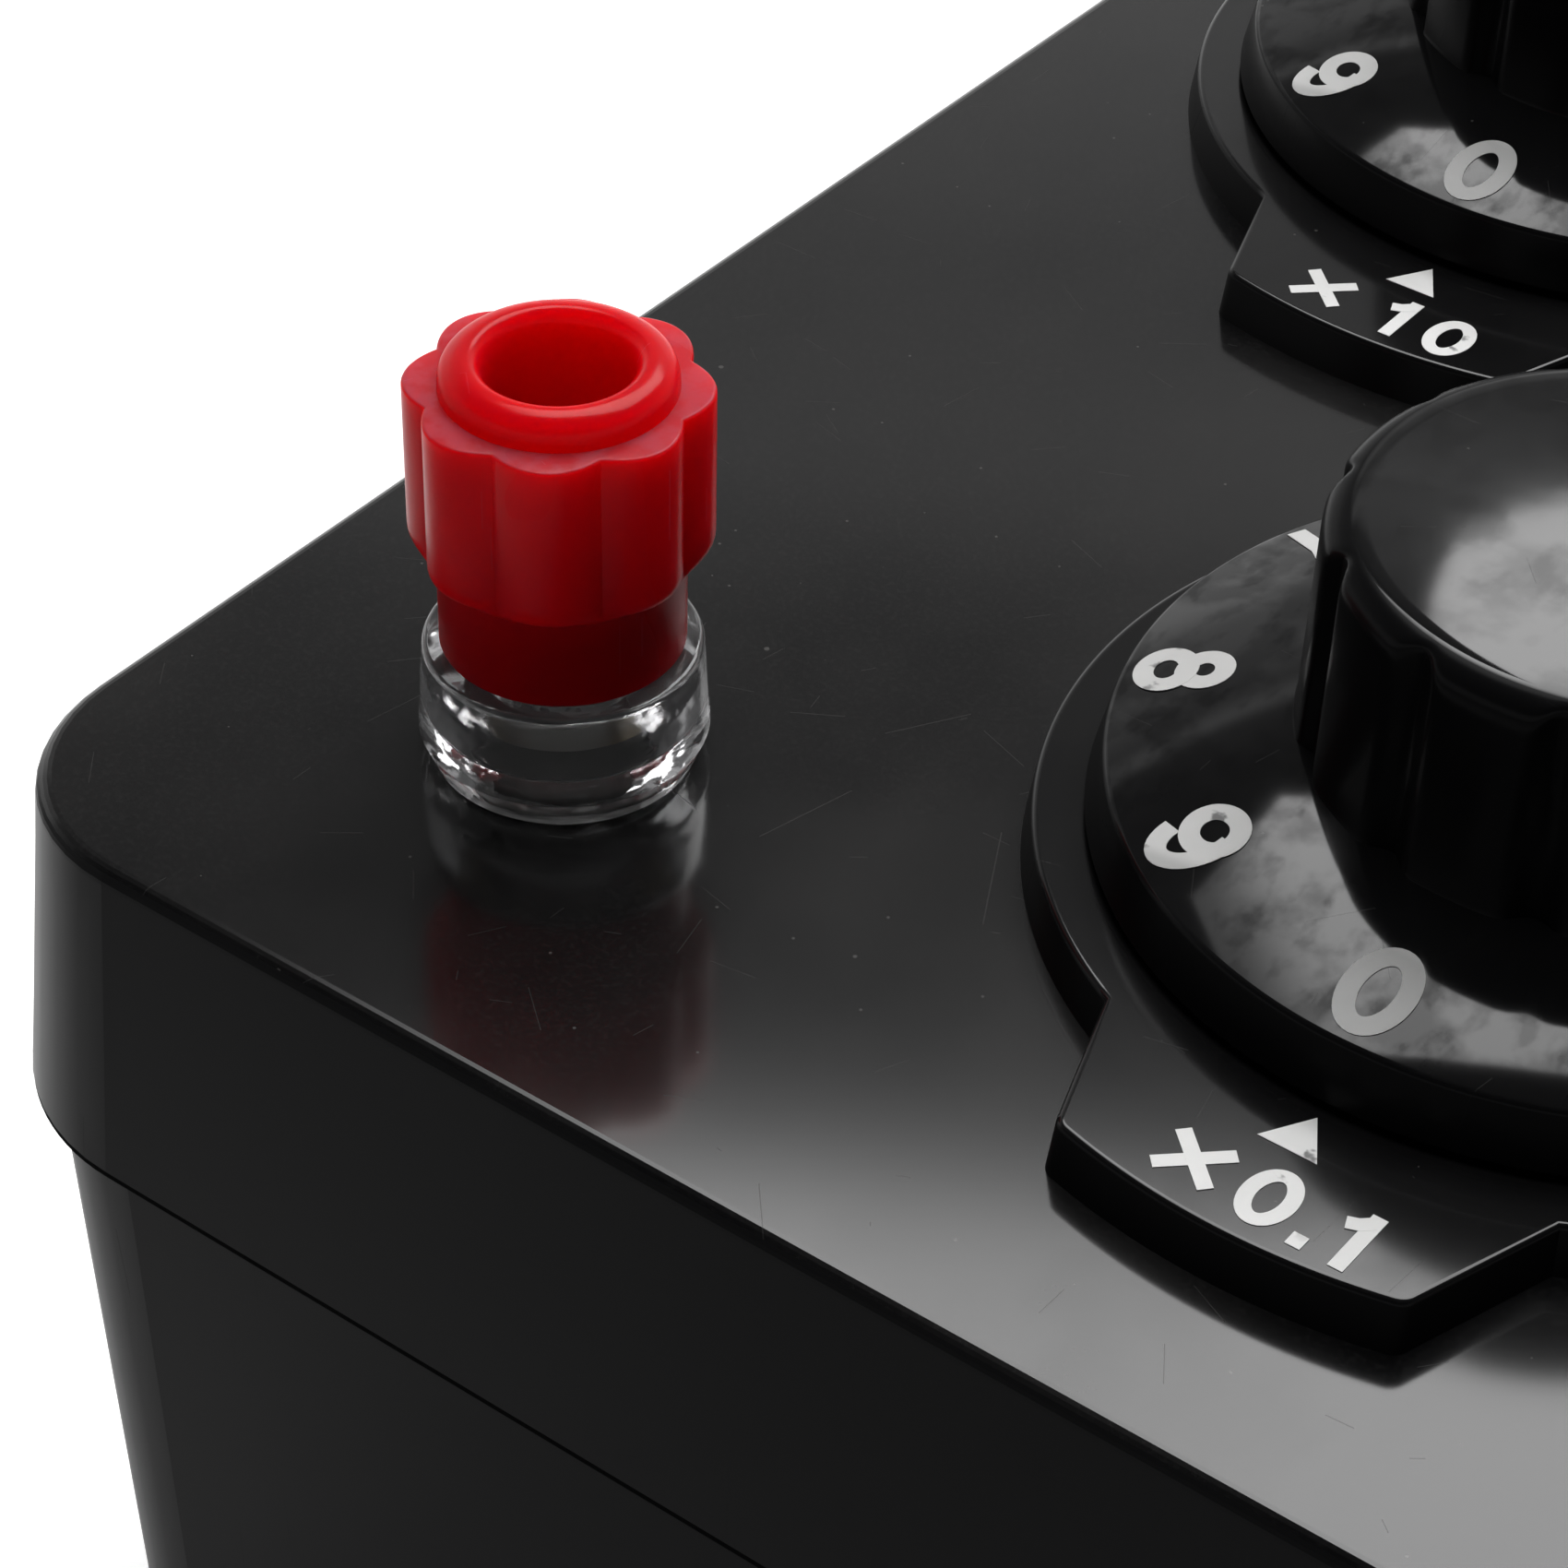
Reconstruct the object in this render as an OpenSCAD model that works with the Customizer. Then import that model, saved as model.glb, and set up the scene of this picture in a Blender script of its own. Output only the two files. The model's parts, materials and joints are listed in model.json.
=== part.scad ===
// Decade resistance box: five stud switches in series between two binding posts.
// Millimetres, +Z up, origin on the table under the middle of the case.

/* [Case] */
// Height of the lid, panel to parting line
lid_h = 15.1; // [14:0.1:20]
// Outward slope of the lid sides, per side
lid_flare = 1.4; // [0.4:0.1:2]
// Corner radius at the foot of the lid
lid_corner = 10; // [8:0.5:14]
// Rounding of the lid's top edge
lid_edge = 0.7; // [0.3:0.1:1.2]
// Thickness of the panel
panel_t = 3; // [2:0.1:4]
// Wall of lid and base
wall = 2.5; // [2:0.1:3]
// Height of the base, foot to parting line
base_h = 36; // [30:1:60]
// Step from the lid down to the base, per side
base_step = 1; // [0.8:0.1:1.4]
// Inward slope of the base sides, per side
base_taper = 1.6; // [0.4:0.1:2]
// Rounding of the base's bottom edge
base_edge = 1.2; // [0.5:0.1:2]
// Height of the shadow groove under the lid
seam_h = 0.3; // [0.2:0.05:0.6]
// Depth of the shadow groove
seam_depth = 0.6; // [0.3:0.1:0.8]
// Height of the lip inside the skirt
lip_h = 2.5; // [1.5:0.1:4]
// Clearance between lip and skirt
lip_gap = 0.15; // [0.1:0.05:0.3]
// Rubber foot radius
foot_r = 6.5; // [4:0.5:9]
// Rubber foot height
foot_h = 2.5; // [1.5:0.5:5]
// Foot centre in from the lid's skirt
foot_inset = 24; // [22:1:30]

/* [Case screws] */
// Screw post radius
post_r = 4; // [3.5:0.1:4.5]
// Screw post centre in from the lid's skirt
post_inset = 9.5; // [9:0.5:11]
// Screw shank radius
screw_r = 1.5; // [1.2:0.1:1.8]
// Screw head radius
screw_head_r = 2.7; // [2.4:0.1:2.9]
// Screw head height
screw_head_h = 1.8; // [1.2:0.1:2.4]
// Depth of the screw head in the base
screw_sink = 6; // [4:0.5:10]
// Thread engaged in the lid
screw_bite = 9; // [6:0.5:10]

/* [Layout] */
// Pitch of the dials along a row and between rows
dial_pitch = 51.4; // [48:0.2:60]
// Panel left beside the outer dials
side_margin = 6.4; // [4:0.1:12]
// Panel left before the front tabs
front_margin = 8; // [5:0.1:14]
// Panel left behind the back dials
back_margin = 7.4; // [5:0.1:14]
// Post centre in from the panel's edges
terminal_inset = 17.5; // [15:0.1:20]

/* [Index plate] */
// Plate radius at the panel
plate_r = 22; // [20.5:0.1:23]
// Plate thickness
plate_t = 2.2; // [1.5:0.1:3]
// Slope of the plate's edge
plate_draft = 0.4; // [0.1:0.1:0.8]
// Reach of the tab from the dial's axis
tab_r = 27.5; // [25.5:0.1:29]
// Half width of the tab where it leaves the plate
tab_in = 9.7; // [8.5:0.1:11]
// Half width of the tab at its outer edge
tab_out = 7.4; // [6:0.1:8.4]
// Rounding of the tab's corners
tab_round = 0.8; // [0.3:0.1:1.5]

/* [Dial and knob] */
// Dial radius at the rim of its number face
dial_r = 19.1; // [17:0.1:19.5]
// Dial flare to its lower edge
dial_flare = 0.6; // [0.2:0.1:0.8]
// Dial thickness at the rim
dial_t = 2.6; // [2:0.1:3.5]
// Rise of the number face from the rim to the knob
dial_rise = 1.9; // [0.5:0.1:2.4]
// Running gap under the dial
dial_gap = 0.35; // [0.3:0.05:0.6]
// Rounding of the dial's upper edge
dial_edge = 0.3; // [0.1:0.05:0.5]
// Knob radius at its foot
knob_r = 12; // [11:0.1:13.5]
// Knob radius lost to its top
knob_taper = 0.2; // [0.1:0.1:1.2]
// Knob height above the dial
knob_h = 9.6; // [8.5:0.1:16]
// Rounding of the knob's top edge
knob_edge = 1.2; // [0.4:0.1:1.6]
// Number of grip grooves
grooves = 12; // [6:1:16]
// Grip groove radius
groove_r = 1.6; // [0.8:0.1:1.8]
// Grip groove depth
groove_depth = 0.65; // [0.3:0.05:1]
// Turn of the grooves from the dial's numbers
groove_turn = 15; // [-18:1:18]
// Radius of the knob's spigot in the dial
spigot_r = 9; // [8.6:0.1:9.8]
// Room around the bushing nut under the knob
nut_room = 0.8; // [0.5:0.1:1]

/* [Switch] */
// Switch steps per turn
steps = 10; // [10:1:10]
// Shaft radius
shaft_r = 3; // [2.5:0.1:3.2]
// Shaft depth in the knob
shaft_grip = 6; // [4:0.5:7]
// Running clearance of the shaft, radial
run_gap = 0.05; // [0.03:0.01:0.08]
// Bushing thread radius
bush_r = 4.7; // [4.5:0.1:5]
// Bushing flange radius
bush_flange_r = 8; // [7:0.1:9]
// Bushing flange thickness
bush_flange_t = 2; // [1.5:0.1:3]
// Bushing nut across flats
bush_nut_af = 12; // [11.6:0.1:12.8]
// Bushing nut thickness
bush_nut_t = 2; // [1.5:0.1:2.4]
// Clearance of a bolt or bushing in its hole
hole_gap = 0.1; // [0.05:0.05:0.2]
// Switch frame thickness
frame_t = 1.2; // [0.8:0.1:2]
// Switch frame width
frame_w = 13; // [11:0.5:16]
// Spacing pillar radius
pillar_r = 2.2; // [1.8:0.1:2.4]
// Pillar distance from the shaft
pillar_at = 15.5; // [15:0.1:16.5]
// Pillar length
pillar_len = 12; // [11:0.5:15]
// Pillar rivet radius
rivet_r = 1.2; // [0.8:0.1:1.4]
// Wafer radius
wafer_r = 18.6; // [18:0.1:21]
// Wafer thickness
wafer_t = 1.6; // [1:0.1:2.4]
// Wafer's clearance around the shaft
wafer_gap = 1; // [0.5:0.1:1.2]
// Radius of the stud circle
stud_at = 10.5; // [10:0.1:11]
// Contact stud head radius
stud_r = 1.6; // [1.2:0.1:1.8]
// Contact stud head height
stud_h = 0.8; // [0.5:0.1:1.2]
// Contact stud pin radius
pin_r = 0.7; // [0.5:0.1:0.9]
// Pin length below the wafer
pin_len = 3; // [2.5:0.1:4]
// Collector ring width
ring_w = 1.8; // [1.4:0.1:2]
// Wiper arm width
arm_w = 3.4; // [2.4:0.1:3.6]
// Wiper arm thickness
arm_t = 0.6; // [0.4:0.1:1]
// Wiper's running gap over the studs
wipe_gap = 0.1; // [0.05:0.05:0.2]
// Wiper contact height
tip_h = 1.2; // [0.8:0.1:1.6]
// Wiper hub radius
hub_r = 4.4; // [4:0.1:4.6]
// Width of the end stop
stop_w = 1; // [0.6:0.1:1.2]
// Resistor body radius
resistor_r = 0.95; // [0.7:0.05:1.1]
// Resistor body length
resistor_len = 3.6; // [2.8:0.1:3.8]
// Resistor lead radius
lead_r = 0.3; // [0.2:0.05:0.4]

/* [Binding posts] */
// Radius over the cap's lobes
cap_r = 6; // [5.8:0.1:6.6]
// Number of lobes
lobes = 8; // [6:1:8]
// Radius of one lobe
lobe_r = 2.2; // [2.1:0.05:2.4]
// Turn of the lobes at rest
lobe_turn = 34; // [0:1:44]
// Radius of the cap's plain neck
neck_r = 4.9; // [4.8:0.05:5.2]
// Height of the plain neck
neck_h = 4.1; // [3:0.1:5]
// Height of the lobed grip
grip_h = 7.7; // [7:0.1:10]
// Rounding at the foot of the lobes
grip_foot = 1.1; // [0.5:0.1:1.6]
// Rounding at the top of the lobes
grip_edge = 0.7; // [0.3:0.1:1]
// Height of the ring round the hole
rim_h = 1.25; // [0.6:0.05:1.4]
// Radius of the ring's crest
rim_r = 3.9; // [3.7:0.05:4.1]
// Half width of the ring
rim_w = 0.75; // [0.6:0.05:0.8]
// Plug hole radius in the cap
mouth_r = 2.9; // [2.6:0.05:2.95]
// Collar radius at its top
collar_r = 5.6; // [5.4:0.05:5.8]
// Collar height
collar_h = 5.35; // [4.5:0.05:7]
// Collar flange radius
flange_r = 5.85; // [5.85:0.05:6.2]
// Collar flange height
flange_h = 2; // [1:0.1:2.5]
// Thickness of the collar's web
web_t = 1.5; // [1:0.1:2]
// Edge rounding of the collar
collar_edge = 0.25; // [0.1:0.05:0.4]
// Gap between collar and cap when screwed down
cap_gap = 0.1; // [0.05:0.05:0.3]
// Post thread radius
bolt_r = 3; // [2.95:0.05:3.2]
// Post shoulder radius
shoulder_r = 3.9; // [3.6:0.05:4.1]
// Post shoulder height
shoulder_h = 1.5; // [1:0.1:2]
// Plug socket radius
socket_r = 2; // [1.9:0.05:2.1]
// Plug socket depth
socket_depth = 14; // [12:0.5:15]
// Wire hole radius
wire_hole_r = 0.9; // [0.6:0.1:1.1]
// Radius of the brass insert in the cap
insert_r = 4.2; // [4:0.05:4.3]
// Length of the brass insert
insert_len = 7; // [5:0.1:7.4]
// Post washer radius
washer_r = 6.5; // [5.5:0.1:7]
// Post washer thickness
washer_t = 0.8; // [0.5:0.1:1.2]
// Post nut across flats
nut_af = 10; // [9.5:0.1:11]
// Post nut thickness
nut_t = 3.2; // [2.5:0.1:4]
// Solder tag thickness
tag_t = 0.6; // [0.4:0.1:1]
// Solder tag reach
tag_len = 9; // [8:0.5:10]
// Solder tag width
tag_w = 4; // [3:0.1:5]

/* [Wiring] */
// Wire radius over its insulation
wire_r = 0.6; // [0.4:0.05:0.7]
// First wire's drop under the switch pins
wire_drop = 3; // [2:0.1:4]
// Level step from one wire to the next
wire_step = 2; // [1.6:0.1:2.4]

/* [Hidden] */
$fn = 96;
DECADES = ["tenths", "units", "tens", "hundreds", "thousands"];
SIDES = ["left", "right"];

// Case outline: half sizes at the foot of the lid, and the corner axes that lid and base share
panel_x = dial_pitch + plate_r + side_margin;
panel_y = (front_margin + tab_r + dial_pitch + plate_r + back_margin) / 2;
corner_x = panel_x + lid_flare - lid_corner;
corner_y = panel_y + lid_flare - lid_corner;
z_part = foot_h + base_h;
z_top = z_part + lid_h;
lid_top_r = lid_corner - lid_flare;
base_top_r = lid_corner - base_step;
base_foot_r = base_top_r - base_taper;
slope = lid_flare / lid_h;
post_x = panel_x + lid_flare - post_inset;
post_y = panel_y + lid_flare - post_inset;
foot_x = panel_x + lid_flare - foot_inset;
foot_y = panel_y + lid_flare - foot_inset;
EPS = 0.01;

// Places on the panel
front_y = front_margin + tab_r - panel_y;
back_y = front_y + dial_pitch;
DIALS = [
    [-dial_pitch / 2, front_y],
    [dial_pitch / 2, front_y],
    [-dial_pitch, back_y],
    [0, back_y],
    [dial_pitch, back_y]
];
TERMINALS = [
    [terminal_inset - panel_x, terminal_inset - panel_y],
    [panel_x - terminal_inset, terminal_inset - panel_y]
];

// Levels of a dial and its switch
z_plate = z_top + plate_t;
z_dial = z_plate + dial_gap;
z_face = z_dial + dial_t;
z_hub = z_face + dial_rise;
z_under = z_top - panel_t;
z_frame = z_under - frame_t;
z_flange = z_frame - bush_flange_t;
z_wafer = z_frame - pillar_len;
z_wafer_low = z_wafer - wafer_t;
z_pin = z_wafer_low - pin_len;
z_arm = z_wafer + stud_h + wipe_gap + tip_h;
z_nut_top = z_plate + bush_nut_t;
z_bush_top = z_nut_top + 0.4;
nut_room_r = bush_nut_af / sqrt(3) + nut_room;
z_room = z_bush_top + nut_room;
step_angle = 360 / steps;
ring_r = shaft_r + wafer_gap + ring_w;

// Levels of a binding post, above the panel
z_cap = collar_h + cap_gap;
z_grip = z_cap + neck_h;
z_crown = z_grip + grip_h;
z_insert = z_cap + insert_len;
z_bolt = z_insert - 0.2;
z_washer = z_under - washer_t;
z_tag = z_washer - nut_t - tag_t;
z_bolt_low = z_tag - nut_t - 2;
tag_hole = tag_len - 1.5;

// Points of an arc about [x, y]
function arc(x, y, r, from, to, n = 6) =
    [for (i = [0:n]) [x + r * cos(from + (to - from) * i / n), y + r * sin(from + (to - from) * i / n)]];

// A block with drafted sides and round corners: the profile is radius about a corner axis, then height
module drafted_block(profile) {
    low = profile[0][1];
    high = profile[len(profile) - 1][1];
    outline = concat([[0, low]], profile, [[0, high]]);
    for (x = [-1, 1], y = [-1, 1])
        translate([x * corner_x, y * corner_y, 0])
            rotate([0, 0, x > 0 ? (y > 0 ? 0 : 270) : (y > 0 ? 90 : 180)])
                rotate_extrude(angle = 90)
                    polygon(outline);
    for (turn = [0, 180])
        rotate([0, 0, turn])
            translate([corner_x, corner_y, 0])
                rotate([90, 0, 0])
                    linear_extrude(2 * corner_y)
                        polygon(outline);
    for (turn = [90, 270])
        rotate([0, 0, turn])
            translate([corner_y, corner_x, 0])
                rotate([90, 0, 0])
                    linear_extrude(2 * corner_x)
                        polygon(outline);
    translate([-corner_x, -corner_y, low])
        cube([2 * corner_x, 2 * corner_y, high - low]);
}

// Copies at the four corners of a rectangle
module at_corners(x, y) {
    for (sx = [-1, 1], sy = [-1, 1])
        translate([sx * x, sy * y, 0])
            children();
}

module at_dials() {
    for (place = DIALS)
        translate(place)
            children();
}

module at_terminals() {
    for (place = TERMINALS)
        translate(place)
            children();
}

// A cylinder from one height to another
module drum(r, low, high) {
    translate([0, 0, low])
        cylinder(r = r, h = high - low);
}

// A hexagon bar, flats apart by af
module hexagon(af, low, high) {
    translate([0, 0, low])
        cylinder(r = af / sqrt(3), h = high - low, $fn = 6);
}

// A round rod between two points
module rod(p, q, r) {
    d = q - p;
    length = norm(d);
    translate(p)
        rotate([0, acos(d[2] / length), atan2(d[1], d[0])])
            cylinder(r = r, h = length);
}

module lid() {
    color("#17181a")
        difference() {
            union() {
                difference() {
                    drafted_block(concat(
                        [[lid_corner, z_part]],
                        arc(lid_top_r - lid_edge, z_top - lid_edge, lid_edge, 0, 90)
                    ));
                    drafted_block([
                        [lid_corner - wall + slope, z_part - 1],
                        [lid_corner - wall - slope * (lid_h - panel_t), z_under]
                    ]);
                }
                at_corners(post_x, post_y)
                    drum(post_r, z_part, z_under + EPS);
            }
            at_corners(post_x, post_y)
                drum(screw_r, z_part - 1, z_part + screw_bite);
            at_dials()
                drum(bush_r + hole_gap, z_under - 1, z_top + 1);
            at_terminals()
                drum(bolt_r + hole_gap, z_under - 1, z_top + 1);
        }
}

module base() {
    lip_r = lid_corner - wall - slope * lip_h - lip_gap;
    z_floor = foot_h + wall;
    z_seat = foot_h + screw_sink;
    inner_r = base_top_r - wall;
    color("#121315")
        difference() {
            union() {
                difference() {
                    union() {
                        drafted_block(concat(
                            arc(base_foot_r - base_edge, foot_h + base_edge, base_edge, -90, 0),
                            [
                                [base_top_r, z_part - seam_h],
                                [base_top_r - seam_depth, z_part - seam_h],
                                [base_top_r - seam_depth, z_part]
                            ]
                        ));
                        drafted_block([[lip_r, z_part - 1], [lip_r, z_part + lip_h]]);
                    }
                    drafted_block([
                        [base_foot_r - wall, z_floor],
                        [inner_r, z_part],
                        [inner_r, z_part + lip_h + 1]
                    ]);
                }
                at_corners(post_x, post_y)
                    drum(post_r, foot_h + 1, z_part);
            }
            at_corners(post_x, post_y) {
                drum(screw_head_r + hole_gap, foot_h - 1, z_seat);
                drum(screw_r + hole_gap, z_seat - 1, z_part + 1);
            }
        }
}

module case_screws() {
    z_seat = foot_h + screw_sink;
    color("#9a9c9f")
        at_corners(post_x, post_y)
            difference() {
                union() {
                    drum(screw_head_r, z_seat - screw_head_h, z_seat);
                    drum(screw_r, z_seat - EPS, z_part + screw_bite - 1);
                }
                for (turn = [0, 90])
                    rotate([0, 0, turn])
                        translate([-screw_head_r * 0.6, -0.3, z_seat - screw_head_h - 1])
                            cube([screw_head_r * 1.2, 0.6, 1.9]);
            }
}

module feet() {
    color("#2a2a2c")
        at_corners(foot_x, foot_y)
            cylinder(r1 = foot_r - 0.6, r2 = foot_r, h = foot_h);
}

// Binding post pieces, at the origin of one post

module collar() {
    color("#dfe6ea")
        difference() {
            translate([0, 0, z_top])
                rotate_extrude()
                    polygon(concat(
                        [[0, 0], [flange_r - collar_edge, 0], [flange_r, collar_edge], [flange_r, flange_h]],
                        [[collar_r, flange_h + collar_edge]],
                        arc(collar_r - collar_edge, collar_h - collar_edge, collar_edge, 0, 90),
                        [[0, collar_h]]
                    ));
            drum(bolt_r + hole_gap, z_top - 1, z_top + collar_h + 1);
            drum(shoulder_r + hole_gap, z_top + web_t, z_top + collar_h + 1);
        }
}

module post() {
    color("#b9b4a6")
        difference() {
            union() {
                drum(bolt_r, z_bolt_low, z_top + z_bolt);
                drum(shoulder_r, z_top + web_t, z_top + web_t + shoulder_h);
            }
            drum(socket_r, z_top + z_bolt - socket_depth, z_top + z_bolt + 1);
            translate([0, 0, z_top + z_cap + wire_hole_r + 0.6])
                rotate([90, 0, 0])
                    cylinder(r = wire_hole_r, h = 2 * bolt_r + 2, center = true);
        }
}

// Half section of the cap's outside: neck, rounded foot of the lobes, edge and ring
function cap_profile() = concat(
    [[0, z_cap], [neck_r, z_cap], [neck_r, z_grip]],
    arc(cap_r - grip_foot, z_grip + grip_foot, grip_foot, -90, 0),
    arc(cap_r - grip_edge, z_crown - grip_edge, grip_edge, 0, 90),
    [for (a = [0:15:180]) [rim_r + rim_w * cos(a), z_crown + rim_h * sin(a)]],
    [[0, z_crown]]
);

module cap() {
    color("#c0202a")
        translate([0, 0, z_top])
            difference() {
                intersection() {
                    rotate_extrude()
                        polygon(cap_profile());
                    union() {
                        translate([0, 0, z_cap - 1])
                            cylinder(r = neck_r, h = z_crown + rim_h + 2 - z_cap);
                        for (i = [0:lobes - 1])
                            rotate([0, 0, lobe_turn + i * 360 / lobes])
                                translate([cap_r - lobe_r, 0, z_cap - 1])
                                    cylinder(r = lobe_r, h = z_crown + 2 - z_cap);
                    }
                }
                drum(mouth_r, z_cap - 1, z_crown + rim_h + 1);
                drum(insert_r + run_gap, z_cap - 1, z_insert);
            }
}

module insert() {
    color("#c9a24a")
        difference() {
            drum(insert_r, z_top + z_cap + 0.1, z_top + z_insert - 0.1);
            drum(bolt_r + run_gap, z_top + z_cap - 1, z_top + z_insert + 1);
        }
}

module post_washers() {
    color("#8a6b48")
        at_terminals()
            difference() {
                drum(washer_r, z_washer, z_under);
                drum(bolt_r + hole_gap, z_washer - 1, z_under + 1);
            }
}

module post_nuts() {
    color("#c7c2b4")
        at_terminals()
            difference() {
                union() {
                    hexagon(nut_af, z_washer - nut_t, z_washer);
                    hexagon(nut_af, z_tag - nut_t, z_tag);
                }
                drum(bolt_r + run_gap, z_tag - nut_t - 1, z_washer + 1);
            }
}

// Each tag points to the middle of the case
module post_tags() {
    color("#d6cfae")
        for (place = TERMINALS)
            translate(place)
                rotate([0, 0, place[0] > 0 ? 180 : 0])
                    difference() {
                        union() {
                            drum(nut_af / 2, z_tag, z_tag + tag_t);
                            translate([0, -tag_w / 2, z_tag])
                                cube([tag_len, tag_w, tag_t]);
                        }
                        drum(bolt_r + run_gap, z_tag - 1, z_tag + tag_t + 1);
                    }
}

// Dial and switch pieces, at the origin of one dial

// Outline of the index plate's tab
module tab_outline() {
    offset(r = tab_round)
        offset(delta = -tab_round)
            intersection() {
                polygon([
                    [-tab_in, -plate_r * 0.5],
                    [tab_in, -plate_r * 0.5],
                    [tab_in, -sqrt(plate_r * plate_r - tab_in * tab_in)],
                    [tab_out, -tab_r],
                    [-tab_out, -tab_r],
                    [-tab_in, -sqrt(plate_r * plate_r - tab_in * tab_in)]
                ]);
                circle(r = tab_r);
            }
}

module index() {
    color("#1a1b1d")
        difference() {
            translate([0, 0, z_top])
                union() {
                    cylinder(r1 = plate_r, r2 = plate_r - plate_draft, h = plate_t);
                    linear_extrude(plate_t, scale = 1 - plate_draft / tab_r)
                        tab_outline();
                }
            drum(bush_r + hole_gap, z_top - 1, z_plate + 1);
        }
}

module dial() {
    tilt = atan(dial_rise / (dial_r - knob_r));
    color("#202124")
        difference() {
            rotate_extrude()
                polygon(concat(
                    [[0, z_dial], [dial_r + dial_flare, z_dial]],
                    arc(dial_r - dial_edge, z_face - dial_edge, dial_edge, 0, 90 - tilt, 3),
                    [[knob_r, z_hub], [0, z_hub]]
                ));
            drum(spigot_r + run_gap, z_dial - 1, z_hub + 1);
        }
}

module knob() {
    lean = atan(knob_taper / knob_h);
    color("#1c1d1f")
        difference() {
            union() {
                rotate_extrude()
                    polygon(concat(
                        [[0, z_hub], [knob_r, z_hub]],
                        arc(knob_r - knob_taper - knob_edge, z_hub + knob_h - knob_edge, knob_edge, 0, 90),
                        [[0, z_hub + knob_h]]
                    ));
                drum(spigot_r, z_dial, z_hub + EPS);
            }
            for (i = [0:grooves - 1])
                rotate([0, 0, groove_turn + i * 360 / grooves - 90])
                    translate([knob_r + groove_r - groove_depth, 0, z_hub])
                        rotate([0, -lean, 0])
                            translate([0, 0, -EPS])
                                cylinder(r = groove_r, h = knob_h + 2);
            drum(nut_room_r, z_dial - 1, z_room);
            drum(shaft_r, z_room - 1, z_room + shaft_grip);
        }
}

module shaft() {
    color("#c8c4b8")
        drum(shaft_r, z_wafer_low - 1, z_room + shaft_grip);
}

module wiper() {
    reach = stud_at + stud_r;
    inner_at = ring_r - ring_w / 2;
    color("#b8893c")
        difference() {
            union() {
                drum(hub_r, z_arm, z_flange - dial_gap);
                translate([-arm_w / 2, -reach, z_arm])
                    cube([arm_w, reach, arm_t]);
                for (at = [stud_at, inner_at])
                    translate([0, -at, z_arm - tip_h])
                        cylinder(r = ring_w / 2 - 0.1, h = tip_h + EPS);
            }
            drum(shaft_r, z_arm - tip_h - 1, z_flange);
        }
}

// Place of one contact stud about its shaft
function stud_place(i) = stud_at * [cos(-90 - i * step_angle), sin(-90 - i * step_angle)];

module resistors() {
    level = z_pin + resistor_r;
    color("#b98a5a")
        for (i = [0:steps - 2]) {
            p = concat(stud_place(i), level);
            q = concat(stud_place(i + 1), level);
            u = (q - p) / norm(q - p);
            mid = (p + q) / 2;
            union() {
                rod(mid - u * resistor_len / 2, mid + u * resistor_len / 2, resistor_r);
                rod(p + u * pin_r, q - u * pin_r, lead_r);
            }
        }
}

// Switch pieces made as one set for all five dials

module bushings() {
    color("#c9a44c")
        at_dials()
            difference() {
                union() {
                    drum(bush_flange_r, z_flange, z_frame);
                    drum(bush_r, z_flange, z_bush_top);
                }
                drum(shaft_r + run_gap, z_flange - 1, z_bush_top + 1);
            }
}

module bushing_nuts() {
    color("#b7b3a8")
        at_dials()
            difference() {
                hexagon(bush_nut_af, z_plate, z_nut_top);
                drum(bush_r + run_gap, z_plate - 1, z_nut_top + 1);
            }
}

module switch_frames() {
    length = 2 * (pillar_at + pillar_r + 0.8);
    color("#a9abad")
        at_dials()
            difference() {
                translate([-length / 2, -frame_w / 2, z_frame])
                    cube([length, frame_w, frame_t]);
                drum(bush_r + hole_gap, z_frame - 1, z_under + 1);
            }
}

module pillars() {
    color("#c6a866")
        at_dials()
            for (x = [-1, 1])
                translate([x * pillar_at, 0, 0]) {
                    drum(pillar_r, z_wafer, z_frame);
                    drum(rivet_r, z_wafer_low - 0.6, z_wafer + EPS);
                }
}

module wafers() {
    color("#6e4a2c")
        at_dials()
            difference() {
                union() {
                    drum(wafer_r, z_wafer_low, z_wafer);
                    rotate([0, 0, -90 + step_angle / 2])
                        translate([stud_at - 2 * stud_r, -stop_w / 2, z_wafer - EPS])
                            cube([2 * stud_r, stop_w, z_arm + arm_t - z_wafer]);
                }
                drum(shaft_r + wafer_gap, z_wafer_low - 1, z_wafer + 1);
                for (x = [-1, 1])
                    translate([x * pillar_at, 0, 0])
                        drum(rivet_r, z_wafer_low - 1, z_wafer + 1);
                for (i = [0:steps - 1])
                    translate(stud_place(i))
                        drum(pin_r, z_wafer_low - 1, z_wafer + 1);
                translate([0, ring_r - ring_w / 2, 0])
                    drum(pin_r, z_wafer_low - 1, z_wafer + 1);
            }
}

module contacts() {
    color("#d2ab55")
        at_dials()
            for (i = [0:steps - 1])
                translate(stud_place(i)) {
                    drum(stud_r, z_wafer, z_wafer + stud_h);
                    drum(pin_r, z_pin, z_wafer + EPS);
                }
}

module collectors() {
    color("#caa04a")
        at_dials() {
            difference() {
                drum(ring_r, z_wafer, z_wafer + stud_h);
                drum(ring_r - ring_w, z_wafer - 1, z_wafer + stud_h + 1);
            }
            translate([0, ring_r - ring_w / 2, 0])
                drum(pin_r, z_pin, z_wafer + EPS);
        }
}

// Series wiring: each run drops from one end, crosses at its own level and rises to the other
function tag_end(side) = concat(TERMINALS[side] + [side == 0 ? tag_hole : -tag_hole, 0], z_tag);
function first_stud(i) = concat(DIALS[i] + stud_place(0), z_pin);
function collector_pin(i) = concat(DIALS[i] + [0, ring_r - ring_w / 2], z_pin);

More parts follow.
